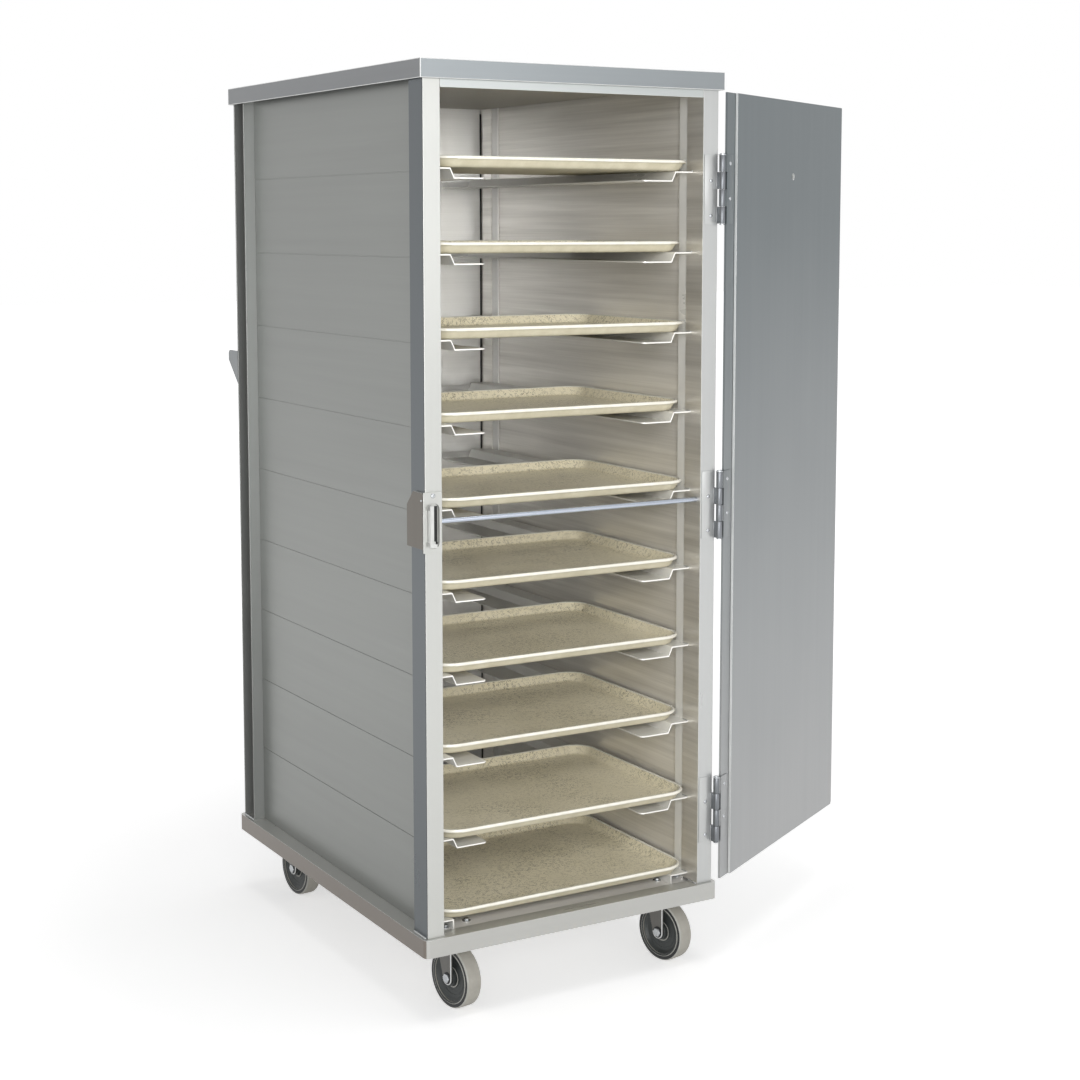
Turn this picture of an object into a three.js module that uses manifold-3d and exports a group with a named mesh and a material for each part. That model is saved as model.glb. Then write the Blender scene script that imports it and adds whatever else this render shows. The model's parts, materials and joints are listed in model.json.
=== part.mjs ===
// Enclosed meal tray cart: a welded aluminium cabinet on four swivel casters, with one door that swings
// right round to the side, ten pairs of stepped tray slides and ten trays.
// Millimetres, +Z up. The front, where the door is, faces -Y, and the hinges are on the right, at +X.
import * as THREE from "three";
import { mergeVertices } from "three/addons/utils/BufferGeometryUtils.js";
import Module from "manifold-3d";

const wasm = await Module();
wasm.setup();

// ---------------------------------------------------------------- driving dimensions
const SEAT_GAP = 0.3; // between pieces that are welded, riveted or pressed together
const RUNNING_FIT = 0.03; // between a pin and the flats of its bore
const CABINET_WIDTH = 587; // over the posts, left to right
const CABINET_DEPTH = 825; // over the posts, front to back
const CAP_TOP = 1622.6; // overall height
const CAP_HEIGHT = 31.75; // depth of the turned-down edge of the roof cap
const CAP_SHEET = 2.5;
const OVERHANG = 8; // of the cap and of the base past the posts
const CORNER_RADIUS = 10; // of the base frame, seen from above

const BASE_HEADROOM = 9.5; // from the top of the wheels to the underside of the base
const BASE_HEIGHT = 31.75;
const BASE_WIDTH = 32; // of the base channel, from its outer face inwards
const CHANNEL_WALL = 3.2; // wall of the base channel and of the posts
const PAN_THICKNESS = 3; // the floor pan inside the base frame
const PAN_DROP = 5.25; // from the top of the base frame to the top of the pan

const POST_WIDTH = 31.75; // along X
const POST_DEPTH = 50.8; // along Y
const WALL_INSET = 22; // of the side walls, behind the outer faces of the posts
const WALL_THICKNESS = 5;
const PLANK_HEIGHT = 143; // of one of the interlocking planks that a wall is made of
const PLANK_JOINT_WIDTH = 2;
const PLANK_JOINT_DEPTH = 1;
const FIRST_PLANK_JOINT = 149.75; // from the top of the base to the lowest joint between two planks
const ROOF_DROP = 24.1; // from the top of the cap to the underside of the roof planks
const ROOF_THICKNESS = 8;

const LEVELS = 10; // pairs of slides, spread evenly over the height
const FIRST_SLIDE = 12.75; // from the top of the base to the top of the lowest pair of slides
const LAST_HEADROOM = 149.5; // from the top of the highest pair of slides to the roof
const SLIDE_SHEET = 2.5;
const SLIDE_REACH = 31; // how far the upper shelf reaches under the rim of a tray
const SLIDE_STEP = 16; // drop to the lower shelf, which carries a narrower tray
const SLIDE_RISER_RUN = 7.5; // sideways run of the sloping riser between the shelves
const SLIDE_LOWER_SHELF = 59;
const SLIDE_FRONT = 33; // from the front of the posts to the front end of the slides
const SLIDE_BACK = 20; // from the slides' back end to the rear wall, clear of the base frame
const SLIDE_CORNER = 8; // rounded front corner of the lower shelf
const BEND_SHIFT = 1; // sideways, from the outer to the inner face of the sheet at the riser's bends
const WELD_DEPTH = 1; // how far a slide is sunk into the upright strips
const UPRIGHT_THICKNESS = 3; // the strips that the slides are welded to
const UPRIGHT_WIDTH = 25;

const TRAY_WIDTH = 513;
const TRAY_LENGTH = 381; // front to back
const TRAY_HEIGHT = 19;
const TRAY_WALL = 3;
const TRAY_CORNER = 45;
const TRAY_LIP = 6; // width of the rolled rim
const TRAY_LIP_HEIGHT = 5.5;
const TRAY_LIP_ROUNDING = 1.5;
const TRAY_LIP_NECK = 1; // how far the outer wall reaches under the rim
const TRAY_SLOPE = 12.5; // how far the flat bottom lies inside the rim
// Each tray was pushed in by hand, so each stops at its own distance behind the posts, lowest first.
const TRAY_SETBACKS = [21, 14, 40, 34, 37, 24, 40, 24, 40, 18];
const TRAY_SIDE_PLAY = 2; // and a little to the right of the middle

const ROD_RADIUS = 4.75; // the cross rod that ties the front posts
const ROD_LEVEL = 5; // the rod passes just under the front of the slides at this level, counted from 0
const ROD_DROP = 15.5; // from the top of those slides to the middle of the rod
const ROD_SETBACK = 14;

const HEADER_DROP = 13.4; // how far the header shows under the cap

const HANDLE_TOP = 1103;
const HANDLE_HEIGHT = 66; // of a cheek, along the post
const HANDLE_REACH = 48.6; // behind the rear posts
const HANDLE_SHEET = 3;
const HANDLE_FLANGE = 25; // the strip of each cheek that is riveted to the back of a post
const HANDLE_CORNER = 8; // rounded outer corner of a cheek
const HANDLE_BROW = 12; // height of a cheek at its outer end
const GRIP_RADIUS = 9.5;
const GRIP_REACH = 36; // from the back of the posts to the middle of the grip
const GRIP_DROP = 12.5; // from the top of the cheeks to the middle of the grip

const DOOR_OPEN = THREE.MathUtils.degToRad(209.7); // from closed, as it stands at rest
const DOOR_BASE_GAP = 5.75; // from the top of the base to the door
const DOOR_CAP_GAP = 2.85; // from the door to the cap
const HINGE_OUT = 2; // the hinge axis lies this far outside the right post
const HINGE_FORWARD = 10.8; // and this far in front of it
const DOOR_HINGE_EDGE = 9; // from the hinge axis to the near edge of the door
const DOOR_FREE_EDGE = 563.5; // from the hinge axis to the far edge
const DOOR_SKIN = 4; // thickness of the outer sheet
const DOOR_SKIN_OFFSET = 0.8; // from the hinge axis to the outer face
const DOOR_PANEL = 4.7; // the raised inner panel
const DOOR_PANEL_START = 43;
const DOOR_PANEL_END = 549;
const DOOR_HOLE_RADIUS = 6.25;
const DOOR_HOLE_ALONG = 302.6; // from the hinge axis
const DOOR_HOLE_DROP = 142; // from the top of the door

const HINGE_FROM_BOTTOM = 132.5; // from the ends of the door to the middles of the outer hinges
const HINGE_FROM_TOP = 170.5;
const TONGUE_REACH = 1; // how far a leaf's tongues and bends run into the flat and the knuckles
const HINGE_LENGTH = 122;
const KNUCKLES = 4; // the first and third from the top turn with the door
const KNUCKLE_GAP = 0.6;
const KNUCKLE_RADIUS = 5.7;
const PIN_RADIUS = 3;
const PIN_HEAD_RADIUS = 4.5;
const PIN_HEAD_HEIGHT = 2;
const LEAF_THICKNESS = 1.8;
const LEAF_WIDTH = 25;
const LEAF_FROM_AXIS = 6.5; // the flat of each leaf starts here

const LATCH_BOTTOM = 812;
const LATCH_TOP = 914;
const LATCH_CASE_PROUD = 5; // thickness of the case on the side of the post
const LATCH_CASE_DEPTH = 58; // front to back, on the side
const LATCH_SIDE_BOTTOM = 818;
const LATCH_SIDE_SHOULDER = 888; // where the sloping top meets the back edge
const LATCH_SIDE_FLAT = 0.6; // share of the depth where the top is still level
const LATCH_SIDE_DROP = 1; // from the top of the plate to the top of the side
const LATCH_PLATE = 1.6; // the front plate, in front of a pocket of the same depth
const LATCH_PLATE_REACH = 30; // from the outer face of the post towards the door
const LATCH_SLOT_BOTTOM = 819;
const LATCH_SLOT_TOP = 895;
const LATCH_SLOT_INSET = 3; // from the outer face of the post
const LATCH_SLOT_WIDTH = 22;
const LATCH_PLAY = 0.5; // of the stem and the foot in the slot, and between the slot's round ends
const LATCH_POCKET_PLAY = 0.25; // in front of the foot and behind it
const LATCH_FOOT_REACH = 3; // of the foot past the ends of the slot
const LATCH_POCKET_REACH = 4; // of the pocket past the ends of the slot
const LATCH_STEM = 5;
const LATCH_LIP = 12.5; // width of the lip that reaches over the door
const LATCH_LIP_GAP = 0.7; // between the lip and the closed door
const LATCH_LIP_THICKNESS = 2.5;
const LATCH_KNOB_RADIUS = 3;
const LATCH_KNOB_LENGTH = 5;
const LATCH_KNOB_HEIGHT = 831;

const WHEEL_RADIUS = 54;
const TYRE_WIDTH = 30;
const TYRE_ROUNDING = 3; // of the edges of the tread
const CORE_RADIUS = 42;
const CORE_WIDTH = 26;
const HUB_RADIUS = 15;
const HUB_WIDTH = 32;
const CORE_DISH = 5; // how far the face of the core lies below its rim
const CORE_RIM = 6; // width of the sloping edge round the face
const AXLE_RADIUS = 5;
const AXLE_HEAD_RADIUS = 8.5;
const AXLE_HEAD_HEIGHT = 4;
const CASTER_INSET_X = 75; // from the outer face of the posts to the swivel axis
const CASTER_INSET_Y = 77;
const CASTER_TRAIL = 29; // from the swivel axis to the axle
const CASTER_PLATE = [60, 92, 4];
const RACE_RADIUS = 24;
const RACE_DEPTH = 9;
const CROWN_THICKNESS = 4;
const FORK_SHEET = 3;
const FORK_INSIDE = 33; // between the legs
const FORK_TOP_BACK = 6; // the legs' top edge, behind the swivel axis
const FORK_EYE = 12; // radius of the round end at the axle
const FORK_EYE_END = 1.9 * Math.PI; // where the back edge of a leg leaves the eye
const KINGPIN_RADIUS = 6;
const KINGPIN_HEAD_RADIUS = 10;
const KINGPIN_HEAD_HEIGHT = 4;
const ROUND_SIDES = 24; // sides of a wheel, an axle or a kingpin
const SMALL_SIDES = 16; // sides of a hinge pin and of other thin rods
const HEX_SIDES = 6; // sides of a bolt head or a nut
const PAST = 1; // how far a cutter, or a piece that is joined on, runs past the face that it meets

// How far each caster has turned, in degrees, as the cart was last rolled into place.
const CASTERS = [
  { name: "front_left", side: -1, end: -1, turn: 9 },
  { name: "front_right", side: 1, end: -1, turn: 12 },
  { name: "rear_left", side: -1, end: 1, turn: 6 },
  { name: "rear_right", side: 1, end: 1, turn: 9 },
];

// ---------------------------------------------------------------- places that follow from them
const LEFT = -CABINET_WIDTH / 2;
const RIGHT = CABINET_WIDTH / 2;
const FRONT = -CABINET_DEPTH / 2;
const BACK = CABINET_DEPTH / 2;
const BASE_BOTTOM = 2 * WHEEL_RADIUS + BASE_HEADROOM;
const BASE_TOP = BASE_BOTTOM + BASE_HEIGHT;
const CAP_BOTTOM = CAP_TOP - CAP_HEIGHT;
const FRAME_TOP = CAP_TOP - CAP_SHEET - SEAT_GAP; // top of the posts, just under the cap's sheet
const REAR_WALL_FACE = BACK - WALL_THICKNESS;
const ROOF_HEIGHT = CAP_TOP - ROOF_DROP;
const LOWEST_SLIDE = BASE_TOP + FIRST_SLIDE;
const SLIDE_SHELF = (CABINET_WIDTH - TRAY_WIDTH) / 2 - POST_WIDTH + SLIDE_REACH; // from the post inwards
const TRAY_PITCH = (ROOF_HEIGHT - LAST_HEADROOM - LOWEST_SLIDE) / (LEVELS - 1);
const slideHeight = (level) => LOWEST_SLIDE + level * TRAY_PITCH;
const DOOR_BOTTOM = BASE_TOP + DOOR_BASE_GAP;
const DOOR_TOP = CAP_BOTTOM - DOOR_CAP_GAP;
const LOWER_HINGE = DOOR_BOTTOM + HINGE_FROM_BOTTOM;
const UPPER_HINGE = DOOR_TOP - HINGE_FROM_TOP;
const HINGE_HEIGHTS = [LOWER_HINGE, (LOWER_HINGE + UPPER_HINGE) / 2, UPPER_HINGE];
const HINGE_X = RIGHT + HINGE_OUT;
const HINGE_Y = FRONT - HINGE_FORWARD;
const DOOR_PANEL_FACE = DOOR_SKIN_OFFSET + DOOR_SKIN + SEAT_GAP; // local Y of the panel's back
const PAN_TOP = BASE_TOP - PAN_DROP;
const PAN_BOTTOM = PAN_TOP - PAN_THICKNESS;

// ---------------------------------------------------------------- materials
const finish = (color, roughness, metalness) => new THREE.MeshStandardMaterial({ color, roughness, metalness });
const brushedAluminium = finish(0x9a9b98, 0.42, 0.9);
const postAluminium = finish(0xb4b7b6, 0.35, 0.9);
const slideAluminium = finish(0xc4c6c6, 0.3, 0.9);
const trayFibreglass = finish(0xb5ac8f, 0.45, 0.0);
const steel = finish(0xb8bbbf, 0.25, 1.0);
const hubPlastic = finish(0x2c2f2e, 0.5, 0.0);
const tyreRubber = finish(0x8e8a82, 0.7, 0.0);

// ---------------------------------------------------------------- solids
// A closed three.js geometry as a solid that can be joined and cut, with its faces turned outwards.
function solidOf(geometry) {
  const bare = geometry.clone();
  bare.deleteAttribute("normal");
  bare.deleteAttribute("uv");
  const merged = mergeVertices(bare, 1e-4);
  const corners = new Uint32Array(merged.index.array);
  const build = () =>
    new wasm.Manifold(
      new wasm.Mesh({ numProp: 3, vertProperties: merged.attributes.position.array, triVerts: corners }),
    );
  const made = build();
  if (made.volume() > 0) return made;
  for (let i = 0; i < corners.length; i += 3) {
    [corners[i + 1], corners[i + 2]] = [corners[i + 2], corners[i + 1]];
  }
  return build();
}

// A solid back as a three.js geometry.
function geometryOf(solid) {
  const mesh = solid.getMesh();
  const positions = new Float32Array(mesh.numVert * 3);
  for (let i = 0; i < mesh.numVert; i += 1) {
    positions.set(mesh.vertProperties.subarray(i * mesh.numProp, i * mesh.numProp + 3), i * 3);
  }
  const geometry = new THREE.BufferGeometry();
  geometry.setAttribute("position", new THREE.BufferAttribute(positions, 3));
  geometry.setIndex(new THREE.BufferAttribute(new Uint32Array(mesh.triVerts), 1));
  const flat = geometry.toNonIndexed();
  flat.computeVertexNormals();
  return flat;
}

const joined = (parts) => geometryOf(parts.map(solidOf).reduce((whole, part) => whole.add(part)));
const cutBy = (body, tools) =>
  geometryOf(tools.map(solidOf).reduce((rest, tool) => rest.subtract(tool), solidOf(body)));

// A box between two limits along each axis.
function box([x0, x1], [y0, y1], [z0, z1]) {
  const geometry = new THREE.BoxGeometry(x1 - x0, y1 - y0, z1 - z0);
  return geometry.translate((x0 + x1) / 2, (y0 + y1) / 2, (z0 + z1) / 2);
}

const shapeOf = (points) => new THREE.Shape(points.map(([u, v]) => new THREE.Vector2(u, v)));
const extruded = (shape, depth, curveSegments = 3) =>
  new THREE.ExtrudeGeometry(shape, { depth, bevelEnabled: false, curveSegments });

// A profile of X and Y drawn out along Z.
const alongZ = (shape, [z0, z1], segments) => extruded(shape, z1 - z0, segments).translate(0, 0, z0);
// A profile of X and Z drawn out along Y.
const alongY = (shape, [y0, y1], segments) =>
  extruded(shape, y1 - y0, segments)
    .rotateX(Math.PI / 2)
    .translate(0, y1, 0);
// A profile of Y and Z drawn out along X.
function alongX(shape, [x0, x1], segments) {
  const turned = new THREE.Matrix4().makeBasis(
    new THREE.Vector3(0, 1, 0),
    new THREE.Vector3(0, 0, 1),
    new THREE.Vector3(1, 0, 0),
  );
  return extruded(shape, x1 - x0, segments)
    .applyMatrix4(turned)
    .translate(x0, 0, 0);
}

// A round bar along one axis, through a centre given on the other two.
function bar(radius, axis, [from, to], [u, v], sides = SMALL_SIDES) {
  const geometry = new THREE.CylinderGeometry(radius, radius, to - from, sides);
  const middle = (from + to) / 2;
  if (axis === "x") return geometry.rotateZ(Math.PI / 2).translate(middle, u, v);
  if (axis === "y") return geometry.translate(u, middle, v);
  return geometry.rotateX(Math.PI / 2).translate(u, v, middle);
}

// The cutter of a round hole for a pin: its flats, not its corners, clear the pin.
const flatToFlat = (radius, sides) => radius / Math.cos(Math.PI / sides);
const bore = (radius, axis, span, centre, sides) =>
  bar(flatToFlat(radius + RUNNING_FIT, sides), axis, span, centre, sides);

// A rectangle with round corners, as a shape.
function roundedRectangle(x0, x1, y0, y1, radius) {
  const shape = new THREE.Shape();
  shape.absarc(x1 - radius, y1 - radius, radius, 0, Math.PI / 2, false);
  shape.absarc(x0 + radius, y1 - radius, radius, Math.PI / 2, Math.PI, false);
  shape.absarc(x0 + radius, y0 + radius, radius, Math.PI, 1.5 * Math.PI, false);
  shape.absarc(x1 - radius, y0 + radius, radius, 1.5 * Math.PI, 2 * Math.PI, false);
  return shape;
}

const cart = new THREE.Group();

function addPiece(name, geometry, material, group = cart) {
  const mesh = new THREE.Mesh(geometry, material);
  mesh.name = name;
  group.add(mesh);
  return mesh;
}

// ---------------------------------------------------------------- base, posts and walls
// The base is a channel bent into a frame, open to the inside, so its flanges are at the top and bottom.
function baseFrame() {
  const [x0, x1, y0, y1] = [LEFT - OVERHANG, RIGHT + OVERHANG, FRONT - OVERHANG, BACK + OVERHANG];
  const outside = roundedRectangle(x0, x1, y0, y1, CORNER_RADIUS);
  const inside = box(
    [x0 + BASE_WIDTH, x1 - BASE_WIDTH],
    [y0 + BASE_WIDTH, y1 - BASE_WIDTH],
    [BASE_BOTTOM - PAST, BASE_TOP + PAST],
  );
  const web = CHANNEL_WALL;
  const grooveOutline = roundedRectangle(x0 + web, x1 - web, y0 + web, y1 - web, CORNER_RADIUS - web);
  const groove = alongZ(grooveOutline, [BASE_BOTTOM + CHANNEL_WALL, BASE_TOP - CHANNEL_WALL]);
  return cutBy(alongZ(outside, [BASE_BOTTOM, BASE_TOP]), [inside, groove]);
}

// The pan lies between the flanges of the base channel, and carries the caster plates below it.
function floorPan() {
  const inset = CHANNEL_WALL + SEAT_GAP - OVERHANG;
  const [x0, x1, y0, y1] = [LEFT + inset, RIGHT - inset, FRONT + inset, BACK - inset];
  return alongZ(roundedRectangle(x0, x1, y0, y1, CORNER_RADIUS - CHANNEL_WALL), [PAN_BOTTOM, PAN_TOP]);
}

// The front posts are box tubes.
function frontPost() {
  const outer = box([0, POST_WIDTH], [0, POST_DEPTH], [BASE_TOP, FRAME_TOP]);
  const hollow = box(
    [CHANNEL_WALL, POST_WIDTH - CHANNEL_WALL],
    [CHANNEL_WALL, POST_DEPTH - CHANNEL_WALL],
    [BASE_TOP - PAST, FRAME_TOP + PAST],
  );
  return cutBy(outer, [hollow]);
}

// The rear posts are channels whose open side faces outwards; this one is for the left side.
function rearPost() {
  const outer = box([0, POST_WIDTH], [0, POST_DEPTH], [BASE_TOP, FRAME_TOP]);
  const open = box(
    [-PAST, POST_WIDTH - CHANNEL_WALL],
    [CHANNEL_WALL, POST_DEPTH - CHANNEL_WALL],
    [BASE_TOP - PAST, FRAME_TOP + PAST],
  );
  return cutBy(outer, [open]);
}

// Heights of the joints between planks, from the lowest one up to the last that lies well under the roof.
const PLANK_JOINT_COUNT = Math.floor((ROOF_HEIGHT - BASE_TOP - FIRST_PLANK_JOINT) / PLANK_HEIGHT);
const plankJoints = () =>
  Array.from({ length: PLANK_JOINT_COUNT }, (_, k) => BASE_TOP + FIRST_PLANK_JOINT + k * PLANK_HEIGHT);

// Outline of a wall of interlocking planks, thickness by height, with a groove at each joint on both faces.
function plankOutline(thickness, bottom, top) {
  const half = PLANK_JOINT_WIDTH / 2;
  const side = (face, inwards, heights) =>
    heights.flatMap((z, i) => {
      const step = i % 2 === 0 ? [face, inwards] : [inwards, face];
      return [
        [step[0], z],
        [step[1], z],
      ];
    });
  const edges = plankJoints().flatMap((z) => [z - half, z + half]);
  const up = side(thickness, thickness - PLANK_JOINT_DEPTH, edges);
  const down = side(0, PLANK_JOINT_DEPTH, [...edges].reverse());
  return shapeOf([[0, bottom], [thickness, bottom], ...up, [thickness, top], [0, top], ...down]);
}

function sideWall() {
  const outline = plankOutline(WALL_THICKNESS, BASE_TOP + SEAT_GAP, ROOF_HEIGHT - SEAT_GAP);
  return alongY(outline, [FRONT + POST_DEPTH + SEAT_GAP, BACK - POST_DEPTH - SEAT_GAP]);
}

function rearWall() {
  const outline = plankOutline(WALL_THICKNESS, BASE_TOP + SEAT_GAP, FRAME_TOP);
  const reach = POST_WIDTH + SEAT_GAP;
  return alongX(outline, [LEFT + reach, RIGHT - reach]).translate(0, REAR_WALL_FACE, 0);
}

// The roof planks rest on the side walls and are notched round the four posts.
function roofPanel() {
  const heights = [ROOF_HEIGHT, ROOF_HEIGHT + ROOF_THICKNESS];
  const between = POST_WIDTH + SEAT_GAP;
  const beside = POST_DEPTH + SEAT_GAP;
  return joined([
    box([LEFT + WALL_INSET, RIGHT - WALL_INSET], [FRONT + beside, BACK - beside], heights),
    box(
      [LEFT + between, RIGHT - between],
      [FRONT + CHANNEL_WALL + SEAT_GAP, REAR_WALL_FACE - SEAT_GAP],
      heights,
    ),
  ]);
}

// An upright strip across the front opening, with a flange turned in over the roof planks.
function frontHeader() {
  const flange = ROOF_HEIGHT + ROOF_THICKNESS + SEAT_GAP;
  const outline = shapeOf([
    [FRONT, CAP_BOTTOM - HEADER_DROP],
    [FRONT + CHANNEL_WALL, CAP_BOTTOM - HEADER_DROP],
    [FRONT + CHANNEL_WALL, flange],
    [FRONT + POST_DEPTH, flange],
    [FRONT + POST_DEPTH, flange + CHANNEL_WALL],
    [FRONT, flange + CHANNEL_WALL],
  ]);
  const reach = POST_WIDTH + SEAT_GAP;
  return alongX(outline, [LEFT + reach, RIGHT - reach]);
}

// A shallow sheet pan, upside down over the tops of the posts.
function topCap() {
  const [x0, x1, y0, y1] = [LEFT - OVERHANG, RIGHT + OVERHANG, FRONT - OVERHANG, BACK + OVERHANG];
  const inside = box(
    [x0 + CAP_SHEET, x1 - CAP_SHEET],
    [y0 + CAP_SHEET, y1 - CAP_SHEET],
    [CAP_BOTTOM - PAST, CAP_TOP - CAP_SHEET],
  );
  return cutBy(box([x0, x1], [y0, y1], [CAP_BOTTOM, CAP_TOP]), [inside]);
}

function addCabinet() {
  addPiece("base_frame", baseFrame(), brushedAluminium);
  addPiece("floor_pan", floorPan(), brushedAluminium);
  addPiece("front_left_post", frontPost(), postAluminium).position.set(LEFT, FRONT, 0);
  addPiece("front_right_post", frontPost(), postAluminium).position.set(RIGHT - POST_WIDTH, FRONT, 0);
  addPiece("rear_left_post", rearPost(), postAluminium).position.set(LEFT, BACK - POST_DEPTH, 0);
  const rearRight = addPiece("rear_right_post", rearPost(), postAluminium);
  rearRight.position.set(RIGHT, BACK, 0);
  rearRight.rotation.z = Math.PI;
  addPiece("left_wall", sideWall(), brushedAluminium).position.x = LEFT + WALL_INSET;
  addPiece("right_wall", sideWall(), brushedAluminium).position.x = RIGHT - WALL_INSET - WALL_THICKNESS;
  addPiece("rear_wall", rearWall(), brushedAluminium);
  addPiece("roof_panel", roofPanel(), brushedAluminium);
  addPiece("front_header", frontHeader(), postAluminium);
  addPiece("top_cap", topCap(), brushedAluminium);
}

// ---------------------------------------------------------------- slides and trays
const WALL_FACE = WALL_INSET + WALL_THICKNESS; // inner face of a side wall, from the outside of the posts
const UPRIGHT_FACE = WALL_FACE + SEAT_GAP + UPRIGHT_THICKNESS;
const SLIDE_ROOT = POST_WIDTH + SEAT_GAP; // where a slide passes beside the front post

// One slide of the left rack: a stepped sheet. The lowest one has only the upper shelf and a leg to the floor.
function slide(level) {
  const top = slideHeight(level);
  const edge = UPRIGHT_FACE - WELD_DEPTH;
  const shelfEnd = POST_WIDTH + SLIDE_SHELF;
  const lowerStart = shelfEnd + SLIDE_RISER_RUN;
  const lowerEnd = lowerStart + SLIDE_LOWER_SHELF;
  const lengths = [FRONT + SLIDE_FRONT, REAR_WALL_FACE - SLIDE_BACK];
  if (level === 0) {
    const outline = shapeOf([
      [edge, top - SLIDE_SHEET],
      [shelfEnd - SLIDE_SHEET, top - SLIDE_SHEET],
      [shelfEnd - SLIDE_SHEET, PAN_TOP + SEAT_GAP],
      [shelfEnd, PAN_TOP + SEAT_GAP],
      [shelfEnd, top],
      [edge, top],
    ]);
    return alongY(outline, lengths);
  }
  const outline = shapeOf([
    [edge, top - SLIDE_SHEET],
    [shelfEnd - BEND_SHIFT, top - SLIDE_SHEET],
    [lowerStart - BEND_SHIFT, top - SLIDE_STEP - SLIDE_SHEET],
    [lowerEnd, top - SLIDE_STEP - SLIDE_SHEET],
    [lowerEnd, top - SLIDE_STEP],
    [lowerStart, top - SLIDE_STEP],
    [shelfEnd, top],
    [edge, top],
  ]);
  const plan = new THREE.Shape();
  plan.moveTo(edge, lengths[0]);
  plan.lineTo(lowerEnd - SLIDE_CORNER, lengths[0]);
  plan.absarc(lowerEnd - SLIDE_CORNER, lengths[0] + SLIDE_CORNER, SLIDE_CORNER, -Math.PI / 2, 0, false);
  plan.lineTo(lowerEnd, lengths[1]);
  plan.lineTo(edge, lengths[1]);
  const trimmed = solidOf(alongY(outline, lengths)).intersect(
    solidOf(alongZ(plan, [top - SLIDE_STEP - 2 * SLIDE_SHEET, top + PAST], 2)),
  );
  return geometryOf(trimmed);
}

// The left rack, measured from the outer face of the posts: two upright strips, with a slide at each level.
function rack() {
  const heights = [PAN_TOP + SEAT_GAP, ROOF_HEIGHT - SEAT_GAP];
  const thickness = [WALL_FACE + SEAT_GAP, UPRIGHT_FACE];
  const frontStart = FRONT + POST_DEPTH + SEAT_GAP;
  const rearEnd = BACK - POST_DEPTH - SEAT_GAP;
  const uprights = [
    box(thickness, [frontStart, frontStart + UPRIGHT_WIDTH], heights),
    box(thickness, [rearEnd - UPRIGHT_WIDTH, rearEnd], heights),
  ];
  const slides = Array.from({ length: LEVELS }, (_, level) => slide(level));
  const whole = joined([...uprights, ...slides]);
  const besideFrontPost = box([0, SLIDE_ROOT], [FRONT - PAST, frontStart], [PAN_TOP, CAP_TOP]);
  const besideRearPost = box([0, SLIDE_ROOT], [rearEnd, BACK + PAST], [PAN_TOP, CAP_TOP]);
  return cutBy(whole, [besideFrontPost, besideRearPost]);
}

// The corners of a rectangle with round corners, drawn in by an inset, at a height.
function trayRing(inset, z) {
  const points = [];
  const radius = TRAY_CORNER - inset;
  const [halfX, halfY] = [TRAY_WIDTH / 2 - TRAY_CORNER, TRAY_LENGTH / 2 - TRAY_CORNER];
  const steps = 3;
  [
    [1, 1],
    [-1, 1],
    [-1, -1],
    [1, -1],
  ].forEach(([sx, sy], quarter) => {
    for (let i = 0; i <= steps; i += 1) {
      const angle = (quarter + i / steps) * (Math.PI / 2);
      points.push([sx * halfX + radius * Math.cos(angle), sy * halfY + radius * Math.sin(angle), z]);
    }
  });
  return points;
}

// A dished tray with a rolled rim, lofted through rings from the outer bottom, over the rim, to the inner
// bottom.
function tray() {
  const lipBottom = TRAY_HEIGHT - TRAY_LIP_HEIGHT;
  const rings = [
    trayRing(TRAY_SLOPE, 0),
    trayRing(TRAY_LIP - TRAY_LIP_NECK, lipBottom),
    trayRing(TRAY_LIP_ROUNDING, lipBottom),
    trayRing(0, lipBottom + TRAY_LIP_ROUNDING),
    trayRing(0, TRAY_HEIGHT - TRAY_LIP_ROUNDING),
    trayRing(TRAY_LIP_ROUNDING, TRAY_HEIGHT),
    trayRing(TRAY_LIP, TRAY_HEIGHT),
    trayRing(TRAY_SLOPE + TRAY_WALL, TRAY_WALL),
  ];
  const count = rings[0].length;
  const positions = rings.flat(2);
  const corners = [];
  rings.slice(1).forEach((_, r) => {
    for (let i = 0; i < count; i += 1) {
      const next = (i + 1) % count;
      const [a, b] = [r * count + i, r * count + next];
      corners.push(a, b, b + count, a, b + count, a + count);
    }
  });
  const last = (rings.length - 1) * count;
  for (let i = 1; i < count - 1; i += 1) {
    corners.push(0, i + 1, i);
    corners.push(last, last + i, last + i + 1);
  }
  const geometry = new THREE.BufferGeometry();
  geometry.setAttribute("position", new THREE.Float32BufferAttribute(positions, 3));
  geometry.setIndex(corners);
  return geometryOf(solidOf(geometry));
}

function addSlidesAndTrays() {
  addPiece("left_rack", rack(), slideAluminium).position.x = LEFT;
  // The right rack is the left one seen in a mirror, so its profile is reflected and turned right side out.
  const mirrored = solidOf(rack()).mirror([1, 0, 0]);
  addPiece("right_rack", geometryOf(mirrored), slideAluminium).position.x = RIGHT;
  for (let level = 0; level < LEVELS; level += 1) {
    const name = `tray_${String(level + 1).padStart(2, "0")}`;
    const y = FRONT + TRAY_SETBACKS[level % TRAY_SETBACKS.length] + TRAY_LENGTH / 2;
    addPiece(name, tray(), trayFibreglass).position.set(TRAY_SIDE_PLAY, y, slideHeight(level) + SEAT_GAP);
  }
}

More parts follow.
